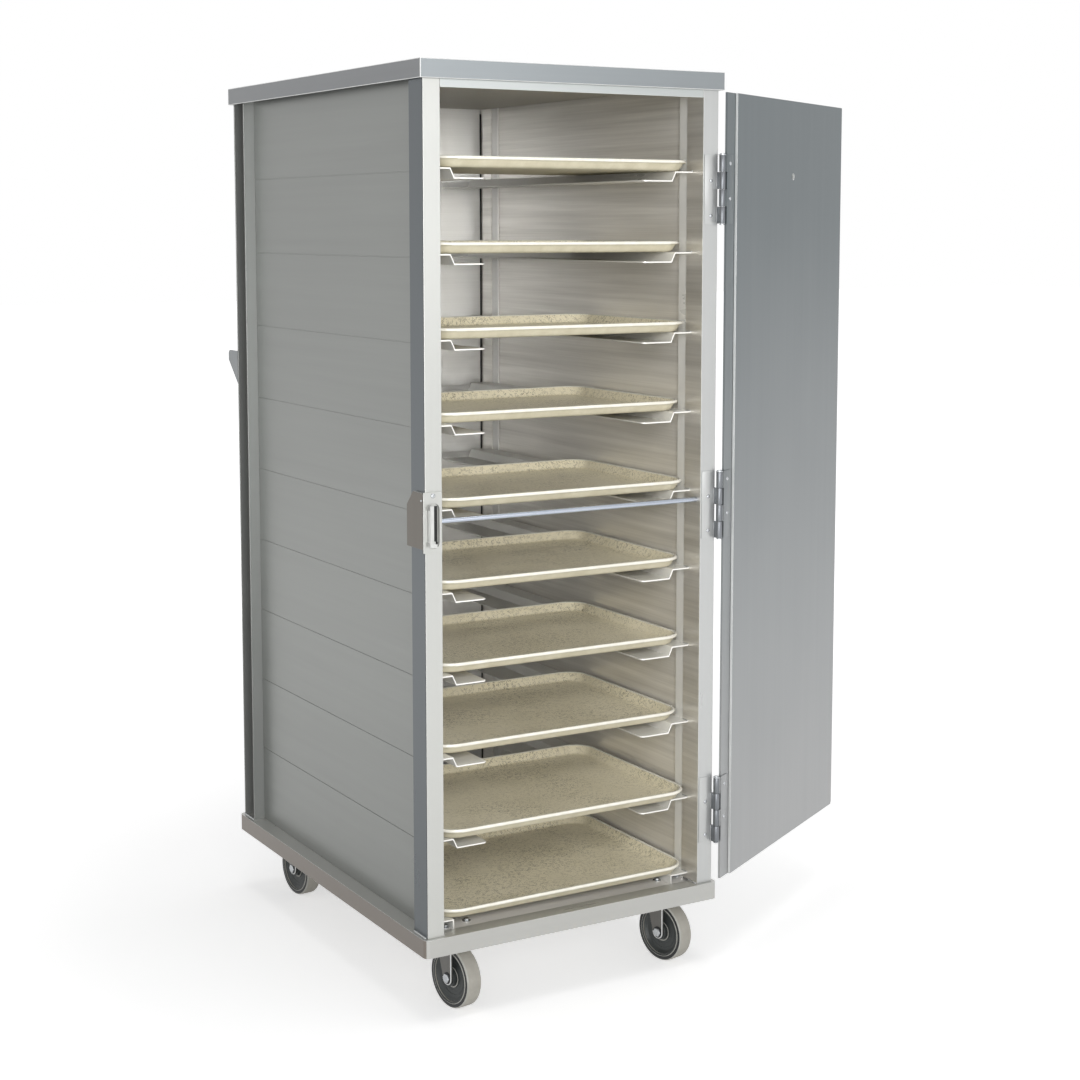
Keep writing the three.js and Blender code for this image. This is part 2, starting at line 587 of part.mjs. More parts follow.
// ---------------------------------------------------------------- cross rod and push handle
function addRodAndHandle() {
  const reach = POST_WIDTH + SEAT_GAP;
  const rodPlace = [FRONT + ROD_SETBACK, slideHeight(ROD_LEVEL) - ROD_DROP];
  const rod = bar(ROD_RADIUS, "x", [LEFT + reach, RIGHT - reach], rodPlace);
  addPiece("cross_rod", rod, steel);

  // A round grip between two cheeks, each bent round to lie flat on the back of a post.
  const start = BACK + SEAT_GAP;
  const foot = HANDLE_TOP - HANDLE_HEIGHT;
  const end = BACK + HANDLE_REACH;
  const cheek = new THREE.Shape();
  cheek.moveTo(start, foot);
  cheek.lineTo(start + HANDLE_SHEET, foot);
  cheek.lineTo(end, HANDLE_TOP - HANDLE_CORNER - HANDLE_BROW);
  cheek.absarc(end - HANDLE_CORNER, HANDLE_TOP - HANDLE_CORNER, HANDLE_CORNER, 0, Math.PI / 2, false);
  cheek.lineTo(start, HANDLE_TOP);
  const flange = [start, start + HANDLE_SHEET];
  const gripPlace = [BACK + GRIP_REACH, HANDLE_TOP - GRIP_DROP];
  const handle = joined([
    alongX(cheek, [LEFT, LEFT + HANDLE_SHEET]),
    alongX(cheek, [RIGHT - HANDLE_SHEET, RIGHT]),
    box([LEFT, LEFT + HANDLE_FLANGE], flange, [foot, HANDLE_TOP]),
    box([RIGHT - HANDLE_FLANGE, RIGHT], flange, [foot, HANDLE_TOP]),
    bar(GRIP_RADIUS, "x", [LEFT + PAST, RIGHT - PAST], gripPlace, ROUND_SIDES),
  ]);
  addPiece("push_handle", handle, postAluminium);
}

// ---------------------------------------------------------------- door and hinges
const HINGE_SPAN = [-HINGE_LENGTH / 2, HINGE_LENGTH / 2];
const LEAF_SPAN = [-LEAF_FROM_AXIS - LEAF_WIDTH, -LEAF_FROM_AXIS];
const TONGUE_SPAN = [-LEAF_FROM_AXIS - TONGUE_REACH, 0];
const pinBore = () => bore(PIN_RADIUS, "z", [-HINGE_LENGTH, HINGE_LENGTH], [0, 0], SMALL_SIDES);

// The knuckles of one hinge from the top down, as heights about its middle; odd ones are on the post leaf.
function knuckleSpans() {
  const length = HINGE_LENGTH / KNUCKLES;
  return Array.from({ length: KNUCKLES }, (_, i) => {
    const top = HINGE_LENGTH / 2 - i * length;
    return [top - length + KNUCKLE_GAP / 2, top - KNUCKLE_GAP / 2];
  });
}

// Leaf of the door, in the closed position about the hinge axis: it lies on the inside of the door.
function doorLeaf() {
  const leaf = [DOOR_PANEL_FACE, DOOR_PANEL_FACE + LEAF_THICKNESS];
  const flat = box(LEAF_SPAN, leaf, HINGE_SPAN);
  const own = knuckleSpans().filter((_, i) => i % 2 === 0);
  const barrels = own.map((span) => bar(KNUCKLE_RADIUS, "z", span, [0, 0]));
  const tongues = own.map((span) => box(TONGUE_SPAN, [KNUCKLE_RADIUS - LEAF_THICKNESS, leaf[1]], span));
  return cutBy(joined([flat, ...barrels, ...tongues]), [pinBore()]);
}

// Leaf of the post, about the hinge axis: it lies on the front face of the post, and a bend brings it
// forward to its knuckles.
function postLeaf() {
  const leaf = [HINGE_FORWARD - LEAF_THICKNESS, HINGE_FORWARD];
  const flat = box(LEAF_SPAN, leaf, HINGE_SPAN);
  const own = knuckleSpans().filter((_, i) => i % 2 === 1);
  const barrels = own.map((span) => bar(KNUCKLE_RADIUS, "z", span, [0, 0]));
  const tongues = own.map((span) => box(TONGUE_SPAN, leaf, span));
  const bend = [[TONGUE_REACH - KNUCKLE_RADIUS, 0], [PIN_RADIUS + TONGUE_REACH, HINGE_FORWARD]];
  const bends = own.map((span) => box(...bend, span));
  return cutBy(joined([flat, ...barrels, ...tongues, ...bends]), [pinBore()]);
}

function hingePin() {
  const half = HINGE_LENGTH / 2;
  const heads = [
    [half + SEAT_GAP, half + SEAT_GAP + PIN_HEAD_HEIGHT],
    [-half - SEAT_GAP - PIN_HEAD_HEIGHT, -half - SEAT_GAP],
  ];
  const shank = bar(PIN_RADIUS, "z", [-half - PAST, half + PAST], [0, 0]);
  return joined([shank, ...heads.map((span) => bar(PIN_HEAD_RADIUS, "z", span, [0, 0]))]);
}

// The outer sheet of the door, closed about the hinge axis, with the round hole.
function doorSkin() {
  const faces = [DOOR_SKIN_OFFSET, DOOR_SKIN_OFFSET + DOOR_SKIN];
  const sheet = box([-DOOR_FREE_EDGE, -DOOR_HINGE_EDGE], faces, [DOOR_BOTTOM, DOOR_TOP]);
  return cutBy(sheet, [doorHole()]);
}

const doorHole = () =>
  bar(
    DOOR_HOLE_RADIUS,
    "y",
    [-PAST, DOOR_PANEL_FACE + DOOR_PANEL + PAST],
    [-DOOR_HOLE_ALONG, DOOR_TOP - DOOR_HOLE_DROP],
  );

// The raised panel on the inside of the door.
function doorPanel() {
  const faces = [DOOR_PANEL_FACE, DOOR_PANEL_FACE + DOOR_PANEL];
  const panel = box([-DOOR_PANEL_END, -DOOR_PANEL_START], faces, [DOOR_BOTTOM, DOOR_TOP]);
  return cutBy(panel, [doorHole()]);
}

function addDoor() {
  const door = new THREE.Group();
  door.position.set(HINGE_X, HINGE_Y, 0);
  door.rotation.z = DOOR_OPEN;
  cart.add(door);
  addPiece("door_skin", doorSkin(), brushedAluminium, door);
  addPiece("door_inner_panel", doorPanel(), brushedAluminium, door);
  HINGE_HEIGHTS.forEach((z, i) => {
    const place = ["lower", "middle", "upper"][i];
    addPiece(`${place}_hinge_door_leaf`, doorLeaf(), steel, door).position.z = z;
    addPiece(`${place}_hinge_post_leaf`, postLeaf(), steel).position.set(HINGE_X, HINGE_Y, z);
    addPiece(`${place}_hinge_pin`, hingePin(), steel).position.set(HINGE_X, HINGE_Y, z);
  });
}

// ---------------------------------------------------------------- latch
const LATCH_SLOT_LEFT = LEFT + LATCH_SLOT_INSET;

// The case wraps the outer corner of the front left post: a thick cheek on the side, and a plate in front
// that stands off the post by a pocket, in which the foot of the slide runs.
function latchCase() {
  const cheek = shapeOf([
    [FRONT - 2 * LATCH_PLATE, LATCH_SIDE_BOTTOM],
    [FRONT + LATCH_CASE_DEPTH, LATCH_SIDE_BOTTOM],
    [FRONT + LATCH_CASE_DEPTH, LATCH_SIDE_SHOULDER],
    [FRONT + LATCH_SIDE_FLAT * LATCH_CASE_DEPTH, LATCH_TOP - LATCH_SIDE_DROP],
    [FRONT - 2 * LATCH_PLATE, LATCH_TOP - LATCH_SIDE_DROP],
  ]);
  const plateEnd = LEFT + LATCH_PLATE_REACH;
  const plate = box(
    [LEFT - LATCH_CASE_PROUD, plateEnd],
    [FRONT - 2 * LATCH_PLATE, FRONT],
    [LATCH_BOTTOM, LATCH_TOP],
  );
  const pocket = box(
    [LEFT + PAST, plateEnd + PAST],
    [FRONT - LATCH_PLATE, FRONT + PAST],
    [LATCH_SLOT_BOTTOM - LATCH_POCKET_REACH, LATCH_SLOT_TOP + LATCH_POCKET_REACH],
  );
  const radius = LATCH_SLOT_WIDTH / 2 - LATCH_PLAY;
  const slotEnd = LATCH_SLOT_LEFT + LATCH_SLOT_WIDTH;
  const slot = roundedRectangle(LATCH_SLOT_LEFT, slotEnd, LATCH_SLOT_BOTTOM, LATCH_SLOT_TOP, radius);
  const window = alongY(slot, [FRONT - 2 * LATCH_PLATE - PAST, FRONT + PAST]);
  const whole = joined([alongX(cheek, [LEFT - LATCH_CASE_PROUD, LEFT]), plate]);
  return cutBy(whole, [pocket, window]);
}

// The slide: a foot in the pocket, a stem through the slot, a lip that reaches over the edge of the door
// once it is pushed across, and a thumb knob. It is drawn back here, as the door stands open.
function latchSlide() {
  const stem = [LATCH_SLOT_LEFT + LATCH_PLAY, LATCH_SLOT_LEFT + LATCH_PLAY + LATCH_STEM];
  const doorFace = FRONT - HINGE_FORWARD + DOOR_SKIN_OFFSET;
  const lipBack = doorFace - LATCH_LIP_GAP;
  const lipFront = lipBack - LATCH_LIP_THICKNESS;
  const heights = [LATCH_SLOT_BOTTOM + LATCH_SLOT_WIDTH / 2, LATCH_SLOT_TOP - LATCH_SLOT_WIDTH / 2];
  const reach = [LATCH_SLOT_BOTTOM + LATCH_FOOT_REACH, LATCH_SLOT_TOP - LATCH_FOOT_REACH];
  const foot = box(
    [stem[0] - LATCH_PLAY, stem[1] + LATCH_PLAY],
    [FRONT - LATCH_PLATE + LATCH_POCKET_PLAY, FRONT - LATCH_POCKET_PLAY],
    [LATCH_SLOT_BOTTOM - LATCH_FOOT_REACH, LATCH_SLOT_TOP + LATCH_FOOT_REACH],
  );
  const web = box(stem, [lipFront, FRONT - LATCH_POCKET_PLAY], heights);
  const lip = box([stem[0], stem[0] + LATCH_LIP], [lipFront, lipBack], reach);
  const knob = bar(
    LATCH_KNOB_RADIUS,
    "y",
    [lipFront - LATCH_KNOB_LENGTH, lipFront + PAST],
    [stem[1] + LATCH_KNOB_RADIUS, LATCH_KNOB_HEIGHT],
  );
  return joined([foot, web, lip, knob]);
}

function addLatch() {
  addPiece("latch_case", latchCase(), steel);
  addPiece("latch_slide", latchSlide(), steel);
}

// ---------------------------------------------------------------- casters
const PLATE_BOTTOM = PAN_BOTTOM - CASTER_PLATE[2];
const RACE_BOTTOM = PLATE_BOTTOM - RACE_DEPTH;
const CROWN_TOP = RACE_BOTTOM - SEAT_GAP;
const CROWN_BOTTOM = CROWN_TOP - CROWN_THICKNESS;

// Top plate with its ball race and kingpin, which the fork turns on.
function casterPlate() {
  const [width, length] = CASTER_PLATE;
  return joined([
    box([-width / 2, width / 2], [-length / 2, length / 2], [PLATE_BOTTOM, PAN_BOTTOM]),
    bar(RACE_RADIUS, "z", [RACE_BOTTOM, PLATE_BOTTOM + PAST], [0, 0], ROUND_SIDES),
    bar(KINGPIN_RADIUS, "z", [CROWN_BOTTOM - 2 * PAST, RACE_BOTTOM + PAST], [0, 0], ROUND_SIDES),
    bar(
      KINGPIN_HEAD_RADIUS,
      "z",
      [CROWN_BOTTOM - SEAT_GAP - KINGPIN_HEAD_HEIGHT, CROWN_BOTTOM - SEAT_GAP],
      [0, 0],
      ROUND_SIDES,
    ),
  ]);
}

// Outline of a fork leg, front to back by height: upright in front, and wide at the top, from where the back
// tapers to a round eye at the axle.
function legOutline() {
  const shape = new THREE.Shape();
  shape.moveTo(FORK_TOP_BACK, CROWN_TOP);
  shape.lineTo(-CASTER_TRAIL - FORK_EYE, CROWN_TOP);
  shape.absarc(-CASTER_TRAIL, WHEEL_RADIUS, FORK_EYE, Math.PI, FORK_EYE_END, false);
  shape.closePath();
  return shape;
}

function casterFork() {
  const half = FORK_INSIDE / 2;
  const outer = half + FORK_SHEET;
  const crown = [CROWN_BOTTOM, CROWN_TOP];
  const legs = [
    [-outer, -half],
    [half, outer],
  ].map((span) => alongX(legOutline(), span));
  const whole = joined([
    bar(RACE_RADIUS, "z", crown, [0, 0], ROUND_SIDES),
    box([-outer, outer], [-CASTER_TRAIL - FORK_EYE, FORK_TOP_BACK], crown),
    ...legs,
  ]);
  const kingpinBore = bore(KINGPIN_RADIUS, "z", [CROWN_BOTTOM - PAST, CROWN_TOP + PAST], [0, 0], ROUND_SIDES);
  const axlePlace = [-CASTER_TRAIL, WHEEL_RADIUS];
  const axleBore = bore(AXLE_RADIUS, "x", [-outer - PAST, outer + PAST], axlePlace, ROUND_SIDES);
  return cutBy(whole, [kingpinBore, axleBore]);
}

// Half a profile, of distance along the axle and radius, mirrored and turned about the axle, with a flat at
// the bottom of the wheel.
function turned(half) {
  const whole = [...half, ...half.map(([along, radius]) => [-along, radius]).reverse()];
  const points = [...whole, whole[0]].map(([along, radius]) => new THREE.Vector2(radius, along));
  const wheel = new THREE.LatheGeometry(points, ROUND_SIDES, Math.PI / ROUND_SIDES).rotateZ(Math.PI / 2);
  return geometryOf(solidOf(wheel));
}

function wheelCore() {
  const rim = flatToFlat(CORE_RADIUS, ROUND_SIDES);
  const face = CORE_WIDTH / 2 - CORE_DISH;
  return turned([
    [HUB_WIDTH / 2, flatToFlat(AXLE_RADIUS + RUNNING_FIT, ROUND_SIDES)],
    [HUB_WIDTH / 2, HUB_RADIUS],
    [face, HUB_RADIUS],
    [face, rim - CORE_RIM],
    [CORE_WIDTH / 2, rim],
  ]);
}

function tyre() {
  const inner = flatToFlat(CORE_RADIUS + SEAT_GAP, ROUND_SIDES);
  const outer = flatToFlat(WHEEL_RADIUS, ROUND_SIDES);
  const half = TYRE_WIDTH / 2;
  return turned([
    [half, inner],
    [half, outer - TYRE_ROUNDING],
    [half - TYRE_ROUNDING, outer],
  ]);
}

// The axle is a bolt through both legs, with its head on one side and its nut on the other.
function axleBolt() {
  const outer = FORK_INSIDE / 2 + FORK_SHEET;
  const centre = [-CASTER_TRAIL, WHEEL_RADIUS];
  const head = outer + SEAT_GAP;
  return joined([
    bar(AXLE_RADIUS, "x", [-head - PAST, head + PAST], centre, ROUND_SIDES),
    bar(AXLE_HEAD_RADIUS, "x", [-head - AXLE_HEAD_HEIGHT, -head], centre, HEX_SIDES),
    bar(AXLE_HEAD_RADIUS, "x", [head, head + AXLE_HEAD_HEIGHT], centre, HEX_SIDES),
  ]);
}

function addCasters() {
  CASTERS.forEach(({ name, side, end, turn }) => {
    const x = side * (CABINET_WIDTH / 2 - CASTER_INSET_X);
    const y = end * (CABINET_DEPTH / 2 - CASTER_INSET_Y);
    addPiece(`${name}_caster_plate`, casterPlate(), steel).position.set(x, y, 0);
    const swivel = new THREE.Group();
    swivel.position.set(x, y, 0);
    swivel.rotation.z = THREE.MathUtils.degToRad(turn);
    cart.add(swivel);
    addPiece(`${name}_fork`, casterFork(), steel, swivel);
    addPiece(`${name}_axle`, axleBolt(), steel, swivel);
    const wheelPlace = [0, -CASTER_TRAIL, WHEEL_RADIUS];
    addPiece(`${name}_wheel_core`, wheelCore(), hubPlastic, swivel).position.set(...wheelPlace);
    addPiece(`${name}_tyre`, tyre(), tyreRubber, swivel).position.set(...wheelPlace);
  });
}

addCabinet();
addSlidesAndTrays();
addRodAndHandle();
addDoor();
addLatch();
addCasters();

// The origin is on the floor, under the middle of the whole cart as it stands with its door open.
const bounds = new THREE.Box3().setFromObject(cart, true);
const middle = bounds.getCenter(new THREE.Vector3());
cart.position.set(-middle.x, -middle.y, -bounds.min.z);

export default cart;
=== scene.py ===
# %% [markdown]
# # An enclosed meal tray cart
#
# The cart is a welded aluminium cabinet on four casters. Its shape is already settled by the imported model,
# so this lesson gives each piece its surface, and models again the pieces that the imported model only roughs
# out: the round ones, the trays, and the small rivets, bolts and welds that make metalwork look like
# metalwork.

import json
import math

import bmesh
import bpy
from mathutils import Matrix, Vector

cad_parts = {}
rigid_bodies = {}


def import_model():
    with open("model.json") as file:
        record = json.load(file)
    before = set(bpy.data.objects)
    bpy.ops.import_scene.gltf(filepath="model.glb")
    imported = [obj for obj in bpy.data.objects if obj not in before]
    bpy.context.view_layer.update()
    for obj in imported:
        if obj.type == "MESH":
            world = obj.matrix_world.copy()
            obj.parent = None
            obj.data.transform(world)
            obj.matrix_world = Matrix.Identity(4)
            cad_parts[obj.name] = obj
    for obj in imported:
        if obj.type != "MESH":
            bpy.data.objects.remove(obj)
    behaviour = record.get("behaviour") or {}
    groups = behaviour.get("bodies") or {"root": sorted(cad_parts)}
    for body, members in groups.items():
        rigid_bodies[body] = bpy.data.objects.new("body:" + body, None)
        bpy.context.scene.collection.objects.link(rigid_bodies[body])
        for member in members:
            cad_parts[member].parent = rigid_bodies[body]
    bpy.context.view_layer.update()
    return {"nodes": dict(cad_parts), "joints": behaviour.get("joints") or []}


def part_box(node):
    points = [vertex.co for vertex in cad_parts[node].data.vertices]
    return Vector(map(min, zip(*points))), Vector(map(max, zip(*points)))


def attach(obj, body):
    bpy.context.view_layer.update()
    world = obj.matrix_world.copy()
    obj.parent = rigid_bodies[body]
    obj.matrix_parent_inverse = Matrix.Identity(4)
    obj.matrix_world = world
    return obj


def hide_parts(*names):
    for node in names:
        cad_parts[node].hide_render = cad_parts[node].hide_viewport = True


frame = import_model()
MM = 0.001
cap_low, cap_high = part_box("top_cap")
CABINET_MIDDLE = Vector(((cap_low.x + cap_high.x) / 2, (cap_low.y + cap_high.y) / 2, 0))
print(len(frame["nodes"]), "pieces in the packed model, middle of the cabinet at", CABINET_MIDDLE)

# %% [markdown]
# ## The camera
#
# The photograph was taken with a long lens from the front left, at about the height of a chin. Its framing
# is lower than the camera points. A lens shift does that without tilting the upright posts; some of it is
# left to the pitch, so that the shift stays small.

# %% Place the camera
CAMERA_PLACE = Vector((-1735.5, -3248.2, 1351.0)) * MM  # from the middle of the cabinet, on the floor
CAMERA_YAW = 0.5303  # turned from straight ahead towards the right, in radians
CAMERA_PITCH = 0.1055  # downwards
FOCAL_PIXELS = 1937.4
FRAME_PIXELS = 1080
AXIS_PIXEL = 432.0  # height of the lens axis in the picture

camera = bpy.data.objects.new("camera", bpy.data.cameras.new("camera"))
bpy.context.scene.collection.objects.link(camera)
camera.location = CABINET_MIDDLE + CAMERA_PLACE
camera.rotation_euler = (math.pi / 2 - CAMERA_PITCH, 0, -CAMERA_YAW)
camera.data.sensor_width = 36
camera.data.lens = FOCAL_PIXELS / FRAME_PIXELS * camera.data.sensor_width
camera.data.shift_y = (AXIS_PIXEL - FRAME_PIXELS / 2) / FRAME_PIXELS
bpy.context.scene.camera = camera
print("lens", round(camera.data.lens, 1), "mm")

# %% [markdown]
# ## A small language for materials
#
# A material is a net of nodes. Written out node by node, a simple formula takes a page, so one small class
# wraps a socket and lets Python's own operators make the Math nodes. Every other node comes from one method
# that takes the node's type, its settings and its inputs. A finish is such a net with the nodes that every
# material here needs.


# %% Sockets that can be added and multiplied
class Signal:
    """The output of a node, as a number in a formula."""

    def __init__(self, net, socket):
        self.net = net
        self.socket = socket

    def math(self, operation, *values):
        made = self.net.node("ShaderNodeMath", {"operation": operation}, dict(enumerate(values)))
        return self.net.out(made, "Value")

    def __add__(self, other):
        return self.math("ADD", self, other)

    def __radd__(self, other):
        return self.math("ADD", other, self)

    def __sub__(self, other):
        return self.math("SUBTRACT", self, other)

    def __rsub__(self, other):
        return self.math("SUBTRACT", other, self)

    def __mul__(self, other):
        return self.math("MULTIPLY", self, other)

    def __abs__(self):
        return self.math("ABSOLUTE", self)

    def __truediv__(self, other):
        return self.math("DIVIDE", self, other)

    def below(self, other):
        return self.math("LESS_THAN", self, other)

    def larger(self, other):
        return self.math("MAXIMUM", self, other)

    def clamped(self):
        return self.math("MINIMUM", self.larger(0.0), 1.0)


class Net:
    """A net of nodes, empty at first."""

    def __init__(self, tree):
        self.tree = tree
        self.tree.nodes.clear()

    def node(self, kind, settings=None, sockets=None):
        """A node with its settings by name, and its inputs by name or number: a value or a signal each."""
        made = self.tree.nodes.new(kind)
        for name, value in (settings or {}).items():
            setattr(made, name, value)
        for key, value in (sockets or {}).items():
            if isinstance(value, Signal):
                self.tree.links.new(value.socket, made.inputs[key])
            else:
                made.inputs[key].default_value = value
        return made

    def out(self, made, name):
        return Signal(self, made.outputs[name])


class Finish(Net):
    """A material that is built up by formulas."""

    def __init__(self, name):
        self.material = bpy.data.materials.new(name)
        self.material.use_nodes = True
        super().__init__(self.material.node_tree)
        self.place = self.out(self.node("ShaderNodeTexCoord"), "Object")

    def part(self, axis):
        """How far along one axis of the cart, in metres."""
        made = self.node("ShaderNodeSeparateXYZ", None, {"Vector": self.place})
        return self.out(made, "XYZ"[axis])

    def noise(self, per_metre, detail=2.0, roughness=0.5, distortion=0.0):
        """Noise with so many spots per metre, in every direction or by axis."""
        scale = per_metre if isinstance(per_metre, (tuple, list)) else (per_metre,) * 3
        mapping = self.node("ShaderNodeMapping", None, {"Vector": self.place, "Scale": scale})
        sockets = {"Vector": self.out(mapping, "Vector"), "Scale": 1.0, "Detail": detail}
        sockets |= {"Roughness": roughness, "Distortion": distortion}
        return self.out(self.node("ShaderNodeTexNoise", None, sockets), "Fac")

    def streaks(self, axis, across, lengthwise, *quality):
        """Noise that is fine across one axis and drawn out along it."""
        scale = [across] * 3
        scale[axis] = lengthwise
        return self.noise(scale, *quality)

    def blend(self, share, first, second):
        """A colour that goes from first to second as share goes from 0 to 1."""
        sockets = {"Factor": share, 6: first, 7: second}
        made = self.node("ShaderNodeMix", {"data_type": "RGBA"}, sockets)
        return Signal(self, made.outputs[2])

    def bump(self, height, distance, strength):
        sockets = {"Height": height, "Distance": distance, "Strength": strength}
        return self.out(self.node("ShaderNodeBump", None, sockets), "Normal")

    def surface(self, **sockets):
        """Ends the material: each word is a socket of the surface shader, with its spaces as underscores."""
        named = {name.replace("_", " "): value for name, value in sockets.items()}
        shader = self.out(self.node("ShaderNodeBsdfPrincipled", None, named), "BSDF")
        self.node("ShaderNodeOutputMaterial", None, {"Surface": shader})
        return self.material


def paint(red, green, blue):
    """A screen colour, 0 to 255, as the linear colour that a shader takes."""

    def linear(value):
        value = value / 255
        return value / 12.92 if value <= 0.04045 else ((value + 0.055) / 1.055) ** 2.4

    return (linear(red), linear(green), linear(blue), 1.0)


print("materials can be written as formulas")

# %% [markdown]
# ## Brushed sheet
#
# The walls and the door are aluminium with a brushed face: thousands of fine parallel scratches that run
# along the sheet. A picture of them would blur close up, so a noise that is squeezed across the scratches and
# stretched along them draws them all. A second one makes broader bands, and a third, soft in every direction,
# stands for uneven handling, because no real sheet has a single tone.

# %% Make brushed aluminium
SCRATCHES = (620, 5, 3.0, 0.6)  # per metre across and along, then the noise's detail and roughness
BANDS = (45, 1.2, 3.0, 0.6)
FLOOR_LIGHT_FADE = 1.25  # metres up which the painted light from the floor fades


def brushed(name, dark, light, along, metal=0.6, roughness=0.36, strength=0.4, foot=None, streak=0.3):
    """Brushed metal, with scratches along one axis: 0 is X, 1 is Y, 2 is Z. foot is the colour of painted
    light from the floor.
    """
    finish = Finish(name)
    fine = finish.streaks(along, *SCRATCHES)
    band = finish.streaks(along, *BANDS)
    cloud = finish.noise(2.2)
    tone = (fine * 0.4 + band * streak + cloud * 0.4 + (0.1 - streak / 2)).clamped()
    colour = finish.blend(tone, dark, light)
    # painted light: towards the floor the colour goes over to the foot tones, lighter as if lit from the
    # floor
    if foot:
        low = (1.1 - finish.part(2) / FLOOR_LIGHT_FADE + (cloud - 0.5) * 0.3).clamped()
        colour = finish.blend(low, colour, finish.blend(tone, *foot))
    return finish.surface(
        Base_Color=colour,
        Metallic=metal,
        Roughness=(roughness + (fine - 0.5) * (strength * 0.5) + (cloud - 0.5) * 0.12).clamped(),
        Normal=finish.bump(fine, 0.05 * MM, strength),
    )


wall_metal = brushed("brushed wall", paint(126, 128, 125), paint(156, 158, 155), 1)
# painted light: the inside faces of the sheet are painted lighter than the outside, for the light inside the
# cabinet
inside_tones_painted_light = (paint(196, 192, 184), paint(252, 249, 243))
inside_metal_painted_light = brushed("brushed wall, inside", *inside_tones_painted_light, 1, 0.5, 0.34, 0.2, streak=1.5)
# painted light: the rear wall's inside face, set to its lit brightness
back_tones_painted_light = (paint(182, 182, 181), paint(216, 216, 214))
back_metal_painted_light = brushed("brushed back wall", *back_tones_painted_light, 0, 0.7, 0.33, 0.03, streak=0.7)
roof_metal = brushed("brushed roof", paint(118, 120, 122), paint(148, 150, 152), 1)
ceiling_metal = brushed("brushed ceiling", paint(170, 167, 158), paint(206, 203, 194), 1, 0.2, 0.45)
pan_metal = brushed("brushed floor pan", paint(206, 203, 198), paint(234, 232, 228), 0, 0.2)
door_tones = (paint(100, 108, 111), paint(124, 131, 134))
# painted light: the door's lower part is lighter, as if lit from the floor
door_floor_light_painted = (paint(158, 159, 160), paint(182, 183, 183))
door_metal = brushed("brushed door", *door_tones, 2, 0.55, 0.36, 0.25, door_floor_light_painted)
print("seven brushed finishes")

# %% [markdown]
# ## Extruded and formed metal
#
# The posts and slides come straight from the mill: smooth along their length, with faint drawing lines from
# the die and small dull patches. The rods, hinges and forks are steel with a bright zinc plate. One recipe
# of three noises makes them all, with a tone, a direction and a gloss for each, because in the photograph
# they differ in no more.


# %% Make mill aluminium and zinc plate
DRAWING_LINES = (110, 1.2)  # per metre across and along


def mill(name, dark, light, along, metal=0.6, roughness=0.3, painted_shadow_line=None):
    """Metal with drawing lines along one axis, with a painted shadow: black up to a depth of
    painted_shadow_line where that is given.
    """
    finish = Finish(name)
    lines = finish.streaks(along, *DRAWING_LINES)
    cloud = finish.noise(9, 1.5)
    grain = finish.noise(420)
    tone = (lines * 0.35 + cloud * 0.3 + grain * 0.06 + 0.145).clamped()
    colour = finish.blend(tone, dark, light)
    # painted shadow: black on the faces in front of painted_shadow_line along Y
    if painted_shadow_line:
        colour = finish.blend(finish.part(1).below(painted_shadow_line), colour, paint(38, 40, 42))
    return finish.surface(
        Base_Color=colour,
        Metallic=metal,
        Roughness=(roughness + (cloud - 0.5) * 0.1 + (lines - 0.5) * 0.05).clamped(),
        Normal=finish.bump(lines, 0.02 * MM, 0.15),
    )


HALF_WIDTH, FRONT, BACK, BASE_TOP = 293.5, -412.5, 412.5, 149.25  # from the cabinet's middle and the floor
FRONT_PLANE = CABINET_MIDDLE.y + FRONT * MM  # the posts' front faces
# painted light and shade: one extrusion, light on the posts' front faces and dark on their side faces; the
# right post's front is painted a little darker than the left's
post_front_painted_light = mill("post, front face", paint(198, 199, 195), paint(211, 212, 208), 2, 0.45)
right_post_front_painted_light = mill("right post, front face", paint(193, 195, 194), paint(207, 208, 207), 2, 0.45)
# painted shadow: a black line down each front post's side face, next to the front corner
post_painted_shadow_line = FRONT_PLANE + 1.8 * MM
post_side_painted_shade = mill("post, side face", paint(89, 95, 99), paint(102, 107, 110), 2, painted_shadow_line=post_painted_shadow_line)
# painted shade on the rear posts, painted light on the left rear post's front flange
rear_post_painted_shade = mill("rear post", paint(88, 89, 85), paint(101, 102, 97), 2, 0.5)
rear_flange_painted_light = mill("rear post, flange", paint(158, 160, 158), paint(174, 176, 174), 2, 0.5)
handle_metal = mill("push handle", paint(112, 116, 118), paint(152, 156, 158), 0, 0.5)
# painted reflection on the cap's front face
cap_front_painted_reflection = mill("cap, front face", paint(143, 149, 152), paint(157, 162, 165), 0, 0.5)
header_metal = mill("header", paint(191, 196, 195), paint(205, 209, 208), 0, 0.45)
# painted light on the base's front rail, painted shade on its side rails
base_front_painted_light = mill("base, front rail", paint(186, 186, 182), paint(201, 201, 197), 0, 0.45)
base_side_painted_shade = mill("base, side rail", paint(120, 113, 106), paint(138, 130, 122), 1, 0.5)
slide_metal = mill("tray slides", paint(220, 219, 214), paint(234, 233, 229), 1, 0.25, 0.3)
zinc = mill("zinc plate", paint(160, 163, 166), paint(214, 217, 219), 2, 0.8, 0.26)
zinc_dull = mill("dull zinc plate", paint(92, 95, 99), paint(150, 153, 157), 2, 0.8, 0.3)
rod_steel = mill("drawn rod", paint(150, 158, 172), paint(206, 212, 222), 0, 0.9, 0.2)
weld_metal = mill("weld", paint(150, 152, 152), paint(214, 216, 216), 2, 0.85, 0.3)
# painted shadow: a black line along the front edge of the latch case's side face
latch_painted_shadow_line = FRONT_PLANE - 1.4 * MM
# painted shade on the latch case's side face
latch_side_painted_shade = mill("latch, side", paint(96, 91, 84), paint(124, 119, 111), 2, 0.5, 0.4, latch_painted_shadow_line)
fork_zinc = mill("fork, zinc plate", paint(84, 83, 80), paint(132, 130, 126), 2, 0.6, 0.36)
